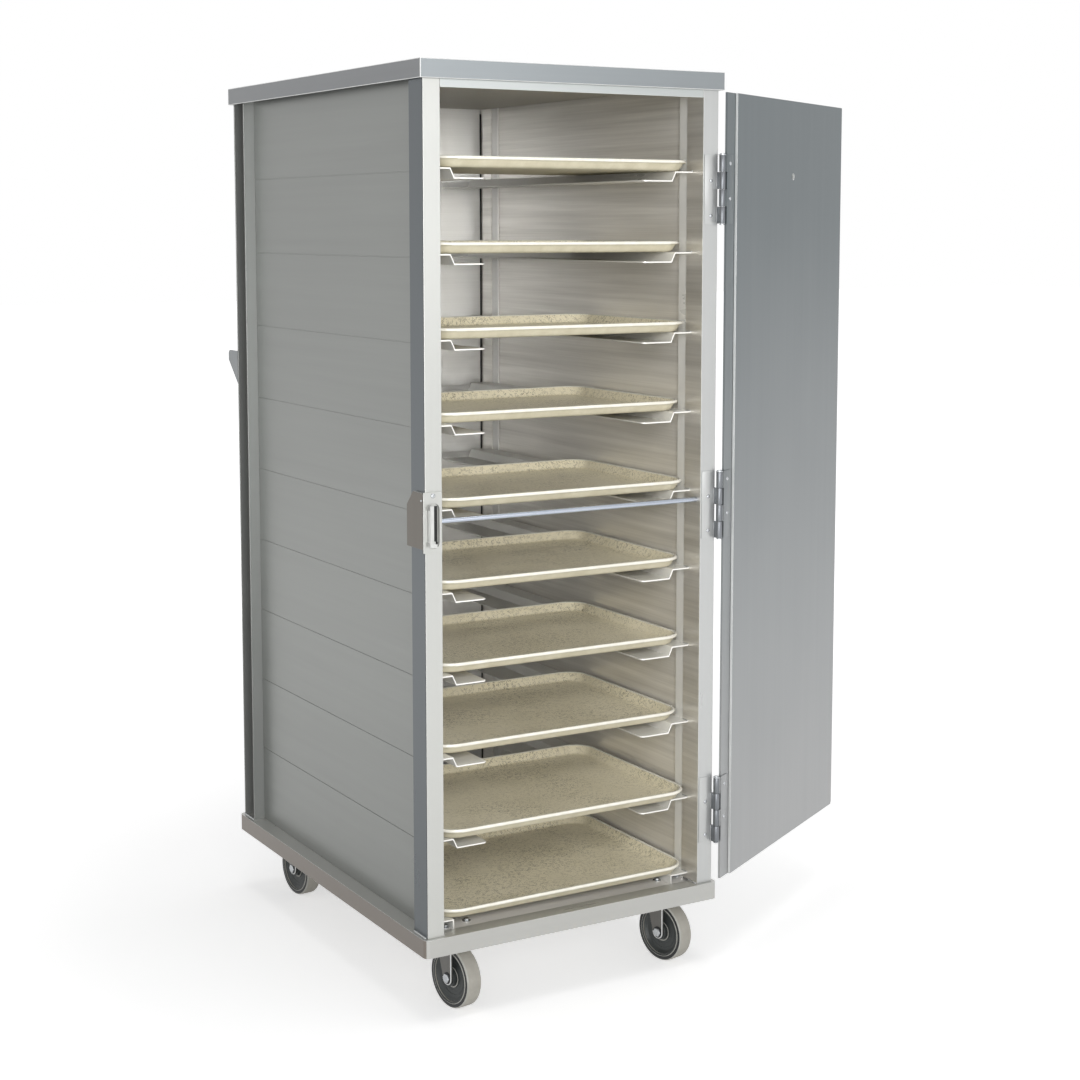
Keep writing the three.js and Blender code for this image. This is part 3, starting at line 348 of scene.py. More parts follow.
# painted highlight: a pale finish for rounded edges, the door's hinge edge and hole, and the fork ribs
painted_edge_highlight = mill("worn edge", paint(216, 218, 216), paint(246, 247, 246), 0, 0.3, 0.35)
print("mill aluminium and zinc plate")

# %% [markdown]
# ## Latch slide
#
# The slide of the latch has a pale plated lip and knob, and is black between them. It is one piece of the
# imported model, so its two colours are chosen by place: pale left of the lip's end and below the knob's top.

# %% Make the latch slide black beside its lip
LIP_END, KNOB_TOP = -283.6, 829  # across the cart, and from the floor
slide_finish = Finish("latch slide")
scuff = slide_finish.noise((300, 300, 60), 3.0)
pale_half = slide_finish.part(0).below(CABINET_MIDDLE.x + LIP_END * MM)
knob = slide_finish.part(2).below(KNOB_TOP * MM)
plated = slide_finish.blend(scuff, paint(206, 207, 204), paint(236, 237, 235))
blackened = slide_finish.blend(scuff, paint(14, 14, 14), paint(34, 34, 33))
latch_slide_finish = slide_finish.surface(
    Base_Color=slide_finish.blend(pale_half.larger(knob), blackened, plated),
    Roughness=(0.35 + (scuff - 0.5) * 0.2).clamped(),
    Metallic=0.3,
)
print("a latch slide that is black beside its lip")

# %% [markdown]
# ## Speckled trays
#
# The trays are fibreglass with a parchment pattern: short dark threads, thrown down at random under a clear
# coat. The line where a noise crosses its middle value is a long wandering thread, and two such noises that
# break each other up leave short ones. The rolled rim is rubbed pale.

# %% Make the tray finishes
tray_finish = Finish("speckled fibreglass")
thread = abs(tray_finish.noise(62, 5.0, 0.66, 2.4) - 0.5)
breaks = tray_finish.noise(150)
cloud = tray_finish.noise(14, 3.0)
ground = tray_finish.blend(cloud, paint(218, 210, 182), paint(240, 232, 208))
patches = (tray_finish.noise(9) * 4.0 - 1.4).clamped()
lines = thread.below(0.02) * breaks.below(0.54) * (0.25 + patches * 0.55)
tray_speckled = tray_finish.surface(
    Base_Color=tray_finish.blend(lines, ground, paint(96, 86, 60)),
    Roughness=(0.34 + (cloud - 0.5) * 0.2).clamped(),
    Coat_Weight=0.4,
    Coat_Roughness=0.12,
    Normal=tray_finish.bump(breaks, 0.05 * MM, 0.4),
)


def mottled(name, dark, light, mottle, gloss, grain=None, **more):
    """Two tones mixed by one noise. gloss is roughness and swing, grain is per metre, depth and strength."""
    finish = Finish(name)
    spots = finish.noise(*mottle)
    roughness, swing = gloss
    if grain:
        per_metre, depth, strength = grain
        more["Normal"] = finish.bump(finish.noise(per_metre), depth * MM, strength)
    return finish.surface(
        Base_Color=finish.blend(spots, dark, light),
        Roughness=(roughness + (spots - 0.5) * swing).clamped(),
        **more,
    )


rim_tones = (paint(200, 196, 180), paint(236, 234, 225))
clear_coat = {"Coat_Weight": 0.5, "Coat_Roughness": 0.1}
tray_rim = mottled("rubbed tray rim", *rim_tones, (60, 4.0, 0.65), (0.22, 0.25), **clear_coat)
skirt_tones = (paint(166, 158, 132), paint(206, 200, 178))
tray_skirt = mottled("tray underside", *skirt_tones, (40, 4.0, 0.65), (0.5, 0.3))
print("tray and rim finishes")

# %% [markdown]
# ## Rubber and moulded plastic
#
# The tread is a pale grey-brown rubber that doesn't mark a floor, a little dusty where it rolls. The wheel
# inside it is dark moulded plastic with a fine grain. Both are the same recipe as the tray's rim with other
# numbers; a fine bump adds the pores and the grain.

# %% Make rubber and plastic
tread_tones = (paint(164, 160, 150), paint(200, 197, 188))
tread_rubber = mottled("pale tread rubber", *tread_tones, (55, 5.0, 0.65), (0.62, 0.25), (1400, 0.08, 0.6))
hub_tones = (paint(44, 48, 48), paint(74, 78, 77))
wheel_plastic = mottled("dark wheel plastic", *hub_tones, (40, 4.0, 0.6), (0.42, 0.3), (1600, 0.05, 0.5))
black_tones = (paint(14, 15, 17), paint(34, 36, 38))
wheel_black = mottled("black wheel rim", *black_tones, (70, 4.0, 0.6), (0.4, 0.3))
line_tones = (paint(160, 160, 152), paint(214, 213, 206))
pale_line = mottled("pale moulded line", *line_tones, (90, 3.0), (0.4, 0.3))
print("rubber and plastic finishes")

# %% [markdown]
# ## Dress the sheet metal
#
# The flat pieces of the imported model already have the right shape, so they stay. Real sheet and tube have
# small round edges that catch the light, which a live Weld and Bevel give without touching the mesh; where a
# piece gives its edges a pale finish, that is a painted highlight. A piece may take a second finish on the
# faces that point along one axis: the posts, the base and the latch case are painted light in front and
# painted shade at the side, the cap's front has a painted reflection, and the inside faces of the walls and
# posts are painted lighter than the outside.


# %% Give the imported pieces their finish
def dress(node, finish, bevel, second=None, second_on=(), painted_highlight=None):
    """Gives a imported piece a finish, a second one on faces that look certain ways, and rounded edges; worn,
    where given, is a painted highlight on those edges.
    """
    piece = frame["nodes"][node]
    piece.data.materials.clear()
    piece.data.materials.append(finish)
    for extra in (second, painted_highlight):
        if extra:
            piece.data.materials.append(extra)
    for face in piece.data.polygons:
        face.material_index = int(any(face.normal.dot(direction) > 0.7 for direction in second_on))
    if bevel:
        weld = piece.modifiers.new("weld", "WELD")
        weld.merge_threshold = 0.01 * MM
        edge = piece.modifiers.new("edge", "BEVEL")
        edge.width = bevel * MM
        edge.segments = 2
        edge.limit_method = "ANGLE"
        edge.angle_limit = math.radians(30)
        # painted highlight: the rounded edges take the pale finish
        if painted_highlight:
            edge.material = len(piece.data.materials) - 1


to_left, to_right = Vector((-1, 0, 0)), Vector((1, 0, 0))
to_front, to_back, up = Vector((0, -1, 0)), Vector((0, 1, 0)), Vector((0, 0, 1))
# painted light: the inside faces of the walls and right posts take the lighter inside finish
dress("left_wall", wall_metal, 0.3, inside_metal_painted_light, (to_right,))
dress("right_wall", wall_metal, 0.3, inside_metal_painted_light, (to_left,))
# painted light on the posts' front faces, painted shade on their side faces
dress("front_left_post", post_front_painted_light, 0.8, post_side_painted_shade, (to_left, to_right))
dress("front_right_post", right_post_front_painted_light, 0.8, inside_metal_painted_light, (to_left,))
for side in ("left", "right"):
    dress(f"{side}_rack", slide_metal, 0.4)
dress("rear_left_post", rear_post_painted_shade, 0.5, rear_flange_painted_light, (to_front,))
dress("rear_right_post", rear_post_painted_shade, 0.5, inside_metal_painted_light, (to_left, to_front))
dress("rear_wall", back_metal_painted_light, 0.3, roof_metal, (to_back,))
dress("roof_panel", ceiling_metal, 0.3)
dress("top_cap", roof_metal, 1.2, cap_front_painted_reflection, (to_front,), painted_edge_highlight)
# painted highlight: the cap, the header and the base take a pale finish on their rounded edges
dress("front_header", header_metal, 0.5, painted_highlight=painted_edge_highlight)
dress("base_frame", base_front_painted_light, 1.2, base_side_painted_shade, (to_left, to_right), painted_edge_highlight)
dress("floor_pan", pan_metal, 0.3)
# painted highlight: the caster plates' and forks' rounded edges take the brighter zinc
for node in frame["nodes"]:
    if "caster_plate" in node or "fork" in node:
        dress(node, fork_zinc, 0.4, painted_highlight=zinc)
dress("latch_case", post_front_painted_light, 0.5, latch_side_painted_shade, (to_left,))
dress("latch_slide", latch_slide_finish, 0.4)
print("the cabinet's flat pieces have a finish")

# %% [markdown]
# ## Dress the door
#
# The door is an outer sheet and a raised inner panel, both brushed upright, with a painted highlight: a
# pale finish on its edge at the hinges and round the small hole. The hole's faces are found by their distance
# from its middle, measured in the door's own frame: closed, with the hinge line at the origin. The outer
# sheet has no live bevel, which would shade its large faces unevenly beside the hole.


# %% Give the door its finish
def at(x, y, z):
    """A move to a place measured in millimetres from the floor under the middle of the cabinet."""
    return Matrix.Translation(CABINET_MIDDLE + Vector((x, y, z)) * MM)


OPEN_ANGLE = 209.7  # in the photograph, from closed
HOLE_X, HOLE_Z, HOLE_RADIUS = -302.6, 1446, 6.6  # from the hinge line and the floor
turned_open = Matrix.Rotation(math.radians(OPEN_ANGLE), 4, "Z")
door_frame = at(295.5, -423.3, 0) @ turned_open
# painted highlight: the hole's faces and the inner panel's hinge edge take the pale edge finish
dress("door_skin", door_metal, 0, painted_edge_highlight)
dress("door_inner_panel", door_metal, 0.5, painted_edge_highlight, (turned_open @ to_right,))
to_door = door_frame.inverted()
for node in ("door_skin", "door_inner_panel"):
    for face in frame["nodes"][node].data.polygons:
        place = to_door @ face.center / MM
        if math.hypot(place.x - HOLE_X, place.z - HOLE_Z) < HOLE_RADIUS:
            face.material_index = 1
print("the door has a finish")

# %% [markdown]
# ## Modelling by hand
#
# The pieces that follow are modelled as they would be with the mouse: a primitive is added, its faces are
# selected, and they are inset, extruded and moved. A script can't click, so one helper selects by place or
# direction, and one repeats the step that round and dished things are made of: inset a face, then push what
# is inside it.


# %% Helpers for modelling by hand
def start(kind, name, **settings):
    """Adds a primitive with nothing else selected; the sizes are in metres."""
    bpy.ops.object.select_all(action="DESELECT")
    getattr(bpy.ops.mesh, f"primitive_{kind}_add")(**settings)
    bpy.ops.object.transform_apply(location=True, rotation=True, scale=True)
    bpy.context.object.name = name
    return bpy.context.object


def focus(piece):
    """Leaves edit mode, and makes a piece the only selected one and the active one."""
    if bpy.context.object and bpy.context.object.mode == "EDIT":
        bpy.ops.object.mode_set(mode="OBJECT")
    bpy.ops.object.select_all(action="DESELECT")
    piece.select_set(True)
    bpy.context.view_layer.objects.active = piece


def pick(piece, test, kind="FACE"):
    """In edit mode, selects the faces, edges or corners that pass a test of their middle and direction."""
    focus(piece)
    bpy.ops.object.mode_set(mode="EDIT")
    bpy.ops.mesh.select_mode(type=kind)
    bpy.ops.mesh.select_all(action="DESELECT")
    mesh = bmesh.from_edit_mesh(piece.data)
    for part in {"FACE": mesh.faces, "EDGE": mesh.edges, "VERT": mesh.verts}[kind]:
        corners = [part] if kind == "VERT" else list(part.verts)
        middle = sum((corner.co for corner in corners), Vector()) / len(corners)
        along = corners[-1].co - corners[0].co if kind == "EDGE" else part.normal
        if test(middle, along):
            part.select_set(True)
    bmesh.update_edit_mesh(piece.data)


def stepped(piece, direction, steps):
    """Insets the flat face that looks in a direction and pushes what is inside it, for each (inset, push)."""
    pick(piece, lambda middle, normal: normal.dot(direction) > 0.99)
    for inset, push in steps:
        bpy.ops.mesh.inset(thickness=inset * MM)
        bpy.ops.transform.translate(value=direction * (push * MM))
    bpy.ops.object.mode_set(mode="OBJECT")


def rounded(piece, finish, bevel=0, angle=35):
    """Rounds the sharp edges by so many millimetres, shades the piece smooth, and gives it its finish."""
    focus(piece)
    if bevel:
        edge = piece.modifiers.new("edge", "BEVEL")
        edge.width = bevel * MM
        edge.segments = 2
        edge.limit_method = "ANGLE"
        edge.angle_limit = math.radians(angle)
        bpy.ops.object.modifier_apply(modifier="edge")
    bpy.ops.object.shade_smooth_by_angle(angle=math.radians(angle))
    piece.data.materials.append(finish)
    return piece


def joined(pieces, name):
    """Several pieces made one, which keeps their materials."""
    focus(pieces[0])
    for piece in pieces:
        piece.select_set(True)
    bpy.ops.object.join()
    pieces[0].name = name
    return pieces[0]


def copied(piece, name, matrix):
    """A copy with a mesh of its own, moved or turned in its mesh so that the object stays at the origin."""
    twin = piece.copy()
    twin.data = piece.data.copy()
    twin.name = name
    bpy.context.scene.collection.objects.link(twin)
    twin.data.transform(matrix)
    return twin


def move(x, y, z):
    """A move by so many millimetres."""
    return Matrix.Translation(Vector((x, y, z)) * MM)


def facing(direction, first=up):
    """A turn that takes +Z, or another first direction, to a direction."""
    return first.rotation_difference(Vector(direction)).to_matrix().to_4x4()


print("nine helpers for modelling by hand")

# %% [markdown]
# ## Wheels
#
# A caster wheel is turned, so it could be spun from half a profile. Stepping the flat ends of a cylinder
# gives the same rings and is easier to follow: each step insets the end and moves it in or out. The tyre is
# bored through by bridging its two ends. One tyre and one core are modelled, and copied to the four casters
# by the axis of each wheel's joint.

# %% Model one tyre and one wheel core
WHEEL_RADIUS, HUB_RADIUS = 54, 42
EDGE_ON = (0, math.pi / 2, 0)
outwards = (to_right, to_left)


def bored(piece):
    """Bridges the two ends of a round piece to a hole right through."""
    pick(piece, lambda middle, normal: abs(normal.x) > 0.99 and math.hypot(middle.y, middle.z) < 1 * MM)
    bpy.ops.mesh.bridge_edge_loops()
    bpy.ops.object.mode_set(mode="OBJECT")
    return piece


def ringed(piece, slots):
    """Gives rings a material slot each: (slot, inner radius, outer radius, least distance along the axle)."""
    for face in piece.data.polygons:
        radius = math.hypot(face.center.y, face.center.z) / MM
        for slot, inner, outer, out in slots:
            if inner < radius < outer and abs(face.center.x) / MM > out:
                face.material_index = slot
    return piece


tyre = start("cylinder", "tyre", vertices=96, radius=WHEEL_RADIUS * MM, depth=23 * MM, rotation=EDGE_ON)
TYRE_STEPS = [(0.3, 1.2), (0.7, 1.3), (1.3, 1.1), (1.0, 0.4), (4.6, -0.5)]
TYRE_STEPS += [(0.4, 0.7), (0.8, 0.1), (0.5, -0.9), (2.1, -0.4)]
for direction in outwards:
    stepped(tyre, direction, TYRE_STEPS)
rounded(bored(tyre), tread_rubber)
for finish in (wheel_black, pale_line, wheel_plastic):
    tyre.data.materials.append(finish)
ringed(tyre, [(2, 52.0, 53.6, 12), (1, 46.1, 52.0, 13), (2, 45.0, 46.1, 13), (3, HUB_RADIUS, 45.0, 11)])

core = start("cylinder", "core", vertices=96, radius=HUB_RADIUS * MM, depth=26 * MM, rotation=EDGE_ON)
CORE_STEPS = [(1.2, -0.1), (1.2, -1.0), (3.0, -3.6), (0.6, -0.3), (3.6, 0), (0.3, 0.5), (0.9, 0), (0.3, -0.5)]
CORE_STEPS += [(6.0, 0), (0.3, 0.4), (0.9, 0), (0.3, -0.4), (4.4, 0), (0.4, 1.6), (1.7, 0.2), (0.4, -1.4)]
CORE_STEPS += [(1.3, 0), (0.3, 6.8), (0.8, 0.6), (7.6, 0)]
for direction in outwards:
    stepped(core, direction, CORE_STEPS)
rounded(bored(core), wheel_plastic)
core.data.materials.append(pale_line)
ringed(core, [(1, 16.5, 18.4, 8.5)])
print("tyre", len(tyre.data.polygons), "faces, core", len(core.data.polygons), "faces")

# %% Put the wheels on their axles
joint_of = {joint["child"]: joint for joint in frame["joints"]}
CORNERS = ("front_left", "front_right", "rear_left", "rear_right")


def wheel_place(corner):
    """The matrix that takes a piece modelled about the X axis to a wheel."""
    joint = joint_of[f"{corner}_wheel"]
    return Matrix.Translation(Vector(joint["pos_m"])) @ facing(joint["axis"], to_right)


for corner in CORNERS:
    for model, node in ((tyre, "tyre"), (core, "wheel_core")):
        piece = copied(model, f"{corner}_{node}_turned", wheel_place(corner))
        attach(piece, f"{corner}_wheel")
        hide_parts(f"{corner}_{node}")
for model in (tyre, core):
    bpy.data.objects.remove(model)
print("four wheels")

# %% [markdown]
# ## Axles and fork ribs
#
# The axle is a bolt with a hexagon head, a nut and two washers. A fork is pressed from sheet, and its legs
# are stiffened by a rib along the front edge and round the axle, which shows as a bright line: the rib's pale
# finish is a painted highlight. The rib is a curve with a thickness, made a mesh once its path is drawn: half
# a circle round the axle, and a straight line up from its front end.

# %% Model the axle bolt
LEG_OUTSIDE = 19.5  # from the middle of the wheel, in millimetres
bolt = start("cylinder", "bolt", vertices=32, radius=5 * MM, depth=46 * MM, rotation=EDGE_ON)
for direction in outwards:
    stepped(bolt, direction, [(0.6, 0.6), (2.8, 0)])
rounded(bolt, zinc)
parts = [bolt]
for side in (-1, 1):
    washer = start("cylinder", "washer", vertices=64, radius=10.5 * MM, depth=1.0 * MM, rotation=EDGE_ON)
    washer.data.transform(move(side * (LEG_OUTSIDE + 0.6), 0, 0))
    parts.append(rounded(washer, wheel_black, 0.2))
    nut = start("cylinder", "nut", vertices=6, radius=8.5 * MM, depth=2.4 * MM, rotation=EDGE_ON)
    nut.data.transform(move(side * (LEG_OUTSIDE + 2.4), 0, 0))
    stepped(nut, Vector((side, 0, 0)), [(1.1, 0.7), (1.2, 0)])
    parts.append(rounded(nut, zinc, 0.3))
bolt = joined(parts, "bolt")
print("bolt", len(bolt.data.polygons), "faces")

# %% Model the ribs of a fork's legs
RIB_TOP, EYE_RADIUS = 125.7 - WHEEL_RADIUS, 12  # from the axle
ribs = []
for side in (-1, 1):
    rib = start("circle", "rib", vertices=48, radius=(EYE_RADIUS - 1.0) * MM, rotation=EDGE_ON)
    pick(rib, lambda middle, along: middle.z > 0.1 * MM, "VERT")
    bpy.ops.mesh.delete(type="VERT")
    bpy.ops.object.mode_set(mode="OBJECT")
    front = min(v.co.y for v in rib.data.vertices)
    pick(rib, lambda middle, along: middle.y < front + 0.01 * MM, "VERT")
    bpy.ops.mesh.extrude_vertices_move(TRANSFORM_OT_translate={"value": (0, 0, RIB_TOP * MM)})
    bpy.ops.object.mode_set(mode="OBJECT")
    bpy.ops.object.convert(target="CURVE")
    rib = bpy.context.object
    rib.data.bevel_depth = 1.2 * MM
    rib.data.bevel_resolution = 3
    rib.data.use_fill_caps = True
    bpy.ops.object.convert(target="MESH")
    rib = bpy.context.object
    rib.data.transform(move(side * (LEG_OUTSIDE + 0.1), 0, 0))
    # painted highlight: the rib takes the pale edge finish
    ribs.append(rounded(rib, painted_edge_highlight))
rib = joined(ribs, "rib")
print("ribs", len(rib.data.polygons), "faces")

# %% Put the axles and ribs on the forks
for corner in CORNERS:
    axle = copied(bolt, f"{corner}_axle_bolt", wheel_place(corner))
    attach(axle, f"{corner}_swivel")
    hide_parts(f"{corner}_axle")
    edge = copied(rib, f"{corner}_fork_ribs", wheel_place(corner))
    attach(edge, f"{corner}_swivel")
for model in (bolt, rib):
    bpy.data.objects.remove(model)
print("four axles")

# %% [markdown]
# ## Trays
#
# A meal tray is pressed from one sheet: a flat bed, flared walls, and a rim that is rolled over. It starts
# as a flat plate with rounded corners at the height of the rim, and is stepped inwards and down to the bed.
# The skirt of the rim is extruded from its edge, and Solidify gives the sheet its thickness.

# %% Model one tray
TRAY_SIZE, OUTLINE_HEIGHT, CORNER_RADIUS = (513, 381), 16.6, 45
tray = start("plane", "tray", size=1, location=(0, 0, OUTLINE_HEIGHT * MM))
pick(tray, lambda middle, normal: True)
bpy.ops.transform.resize(value=(TRAY_SIZE[0] * MM, TRAY_SIZE[1] * MM, 1), center_override=(0, 0, 0))
pick(tray, lambda middle, normal: True, "VERT")
bpy.ops.mesh.bevel(offset=CORNER_RADIUS * MM, segments=14, affect="VERTICES")
bpy.ops.object.mode_set(mode="OBJECT")
RIM_STEPS = [(0.3, 1.1), (0.7, 0.8), (1.1, 0.45), (1.2, 0.05), (1.1, -0.15), (0.7, -0.6), (0.5, -1.0)]
WALL_STEPS = [(3.4, -5.9), (3.3, -5.5), (1.3, -1.8), (1.7, -1.1), (2.2, -0.65), (3.0, -0.25)]
stepped(tray, up, RIM_STEPS + WALL_STEPS)
pick(tray, lambda middle, along: abs(middle.z - OUTLINE_HEIGHT * MM) < 0.1 * MM, "EDGE")
for drop, shrink in ((2.2, 0), (1.0, 0.9)):
    bpy.ops.mesh.extrude_region_move(TRANSFORM_OT_translate={"value": (0, 0, -drop * MM)})
    narrower = [(size - 2 * shrink) / size for size in TRAY_SIZE]
    bpy.ops.transform.resize(value=(*narrower, 1), center_override=(0, 0, 0))
bpy.ops.object.mode_set(mode="OBJECT")
sheet = tray.modifiers.new("sheet", "SOLIDIFY")
sheet.thickness = 2.4 * MM
sheet.offset = -1
sheet.use_even_offset = True
bpy.ops.object.modifier_apply(modifier="sheet")
rounded(tray, tray_speckled, angle=50)
print("tray", len(tray.data.polygons), "faces")

# %% Rub the tray's rim pale
RIM_ABOVE, LIP_ABOVE, LIP_WIDTH = 15.2, 13, 1.6
for finish in (tray_rim, tray_skirt):
    tray.data.materials.append(finish)
half_length, half_width = (size / 2 * MM for size in TRAY_SIZE)
for face in tray.data.polygons:
    beyond = max(abs(face.center.x) - half_length, abs(face.center.y) - half_width)
    on_lip = face.center.z > LIP_ABOVE * MM and beyond > -LIP_WIDTH * MM
    if on_lip or face.center.z > RIM_ABOVE * MM:
        face.material_index = 1
    elif face.normal.z < -0.2:
        face.material_index = 2
tray_low = min(v.co.z for v in tray.data.vertices) / MM
tray_wide = max(v.co.x for v in tray.data.vertices) / MM
print("lowest at", round(tray_low, 2), "mm, half width", round(tray_wide, 2), "mm")

# %% Lay the ten trays on their slides
for level in range(1, 11):
    low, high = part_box(f"tray_{level:02d}")
    middle = Vector(((low.x + high.x) / 2, (low.y + high.y) / 2, low.z - tray_low * MM + 0.02 * MM))
    piece = copied(tray, f"tray_{level:02d}_pressed", Matrix.Translation(middle))
    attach(piece, f"tray_{level:02d}")
    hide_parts(f"tray_{level:02d}")
bpy.data.objects.remove(tray)
print("ten trays")

# %% [markdown]
# ## Hinges
#
# Each hinge has two leaves cut from sheet and rolled into knuckles, which take turns along one pin. The
# leaves start as thin plates, and the knuckles as round bars with a softened edge. One hinge is modelled
# closed, with its pin upright at the origin, and copied to three heights; the door's leaf is turned to
# where the door stands.

# %% Model one hinge
HINGE_LENGTH, KNUCKLE_RADIUS, HALF_GAP = 122, 5.7, 0.3  # the gap is between two knuckles


def plate(name, spans, finish, bevel=0.3):
    """A plate between two limits along each axis, in millimetres."""
    size = [(high - low) * MM for low, high in spans]
    middle = [(high + low) / 2 * MM for low, high in spans]
    made = start("cube", name, size=1, location=middle, scale=size)
    return rounded(made, finish, bevel)


def leaf(name, faces, first, finish):
    """A leaf that lies between two depths, with every second knuckle from the first one down."""
    reach = (-31.5, -6.5)
    parts = [plate(name, (reach, faces, (-HINGE_LENGTH / 2, HINGE_LENGTH / 2)), finish)]
    length = HINGE_LENGTH / 4
    for turn in range(first, 4, 2):
        top = HINGE_LENGTH / 2 - turn * length
        span = (top - length + HALF_GAP, top - HALF_GAP)
        bar = start("cylinder", name, vertices=40, radius=KNUCKLE_RADIUS * MM, depth=(span[1] - span[0]) * MM)
        bar.data.transform(move(0, 0, (span[0] + span[1]) / 2))
        parts.append(rounded(bar, zinc_dull, 0.5))
        parts.append(plate(name, ((-7.5, -0.5), faces, span), finish))
        parts.append(plate(name, ((-5, -1), (3, faces[1]), span), zinc_dull))
    return joined(parts, name)


door_leaf = leaf("door leaf", (5.1, 6.9), 0, door_metal)
post_leaf = leaf("post leaf", (9.0, 10.8), 1, right_post_front_painted_light)
pin = start("cylinder", "pin", vertices=40, radius=3 * MM, depth=(HINGE_LENGTH + 0.6) * MM)
for direction in (up, -up):
    pick(pin, lambda middle, normal: normal.dot(direction) > 0.99)
    bpy.ops.mesh.extrude_region_move(TRANSFORM_OT_translate={"value": direction * 0.1 * MM})
    bpy.ops.transform.resize(value=(1.5, 1.5, 1), center_override=(0, 0, 0))
    bpy.ops.mesh.extrude_region_move(TRANSFORM_OT_translate={"value": direction * 1.3 * MM})
    bpy.ops.mesh.inset(thickness=0.9 * MM)
    bpy.ops.transform.translate(value=direction * 0.6 * MM)
    bpy.ops.object.mode_set(mode="OBJECT")
rounded(pin, zinc)
print("hinge", sum(len(piece.data.polygons) for piece in (door_leaf, post_leaf, pin)), "faces")

# %% Hang the door on three hinges
for place in ("lower", "middle", "upper"):
    low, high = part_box(f"{place}_hinge_pin")
    axis = Matrix.Translation((low + high) / 2)
    sets = (
        (door_leaf, "door_leaf", axis @ turned_open, "door"),
        (post_leaf, "post_leaf", axis, "cabinet"),
        (pin, "pin", axis, "cabinet"),
    )
    for model, word, matrix, body in sets:
        piece = copied(model, f"{place}_hinge_{word}_rolled", matrix)
        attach(piece, body)
        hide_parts(f"{place}_hinge_{word}")
for model in (door_leaf, post_leaf, pin):
    bpy.data.objects.remove(model)
print("three hinges")

# %% [markdown]
# ## Rivets and bolts
#
# Small heads are what the eye uses to judge the size of metalwork. A blind rivet has a low dome with a
# broken-off mandrel in its middle, and the pan is held by bolts with flanged heads. A rivet is one cylinder
# whose end is stepped, and a bolt is two: its flange and its hexagon.

# %% Model the heads
rivet = start("cylinder", "rivet", vertices=32, radius=3.4 * MM, depth=0.5 * MM, location=(0, 0, 0.25 * MM))
DOME_STEPS = [(0.2, 0.4), (0.5, 0.45), (0.8, 0.3), (0.5, 0.05)]
MANDREL_STEPS = [(0.15, -0.35), (0.5, 0), (0.1, 0.3), (0.4, 0.1)]
stepped(rivet, up, DOME_STEPS + MANDREL_STEPS)
rounded(rivet, zinc, angle=55)
head = start("cylinder", "pan bolt", vertices=48, radius=7.5 * MM, depth=0.9 * MM, location=(0, 0, 0.45 * MM))
stepped(head, up, [(0.5, 0.3), (2.2, 0.1)])
rounded(head, zinc, angle=40)
hexagon = start("cylinder", "hexagon", vertices=6, radius=5 * MM, depth=3.2 * MM, location=(0, 0, 2.6 * MM))
stepped(hexagon, up, [(0.6, 0.4), (0.9, 0)])
head = joined([head, rounded(hexagon, zinc, 0.25)], "pan bolt")
print("rivet", len(rivet.data.polygons), "faces, bolt", len(head.data.polygons), "faces")

# %% Set the rivets and bolts
HINGE_HEIGHTS = (1417.5, 852.5, 287.5)
RIVET_DROPS = (-31, 31)  # of a leaf's two rivets, from its middle
BIGGER, SMALLER = Matrix.Scale(1.25, 4), Matrix.Scale(0.6, 4)
small = []
for height in HINGE_HEIGHTS:
    for drop in RIVET_DROPS:
        spot = at(277.5, FRONT - 1.8, height - 16 + drop) @ facing(to_front)
        small.append((rivet, spot, "cabinet"))
        spot = door_frame @ move(-18.5, 6.9, height + 14.5 + drop) @ facing(to_back)
        small.append((rivet, spot, "door"))
small.append((rivet, at(-280.3, FRONT - 3.2, 908) @ facing(to_front) @ BIGGER, "cabinet"))  # on the latch
small.append((rivet, at(-HALF_WIDTH - 5, FRONT + 4, 900) @ facing(to_left) @ SMALLER, "cabinet"))
for x, y in ((-187, 60), (-234, 50), (218, 67), (263, 68)):  # on the floor pan
    small.append((head, at(x, FRONT + y, BASE_TOP - 5.25), "cabinet"))
for height in (1052, 1088):  # on the push handle's flanges
    for side in (-1, 1):
        small.append((rivet, at(side * (HALF_WIDTH - 15), BACK + 3.3, height) @ facing(to_back), "cabinet"))
for body in ("cabinet", "door"):
    heads = [copied(model, "head", matrix) for model, matrix, where in small if where == body]
    fixings = joined(heads, f"{body}_rivets_and_bolts")
    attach(fixings, body)
for model in (rivet, head):
    bpy.data.objects.remove(model)
print(len(small), "small heads")

# %% [markdown]
# ## Welds
#
# The posts are welded to the base and the slides to their uprights. A weld bead is a row of overlapping
# ripples, each a flattened ball, so one ripple is modelled from a ball with its lower half cut away, and
# the beads are rows of it.

# %% Model the weld beads
ripple = start("uv_sphere", "ripple", segments=12, ring_count=8, radius=2.2 * MM)
pick(ripple, lambda middle, normal: True)
bpy.ops.mesh.bisect(plane_co=(0, 0, -0.6 * MM), plane_no=up, clear_inner=True, use_fill=True)
bpy.ops.mesh.select_all(action="SELECT")
bpy.ops.transform.resize(value=(0.75, 1.15, 0.62), center_override=(0, 0, 0))
rounded(ripple, weld_metal, angle=60)
RIPPLE_STEP = 1.5  # millimetres from one ripple to the next


def bead(x, height, first, last):
    """Ripples in a row from front to back, between two places along Y in millimetres."""
    count = round((last - first) / RIPPLE_STEP)
    places = [first + (last - first) * index / (count - 1) for index in range(count)]
    return [copied(ripple, "ripple", at(x, y, height) @ facing(to_back, to_right)) for y in places]


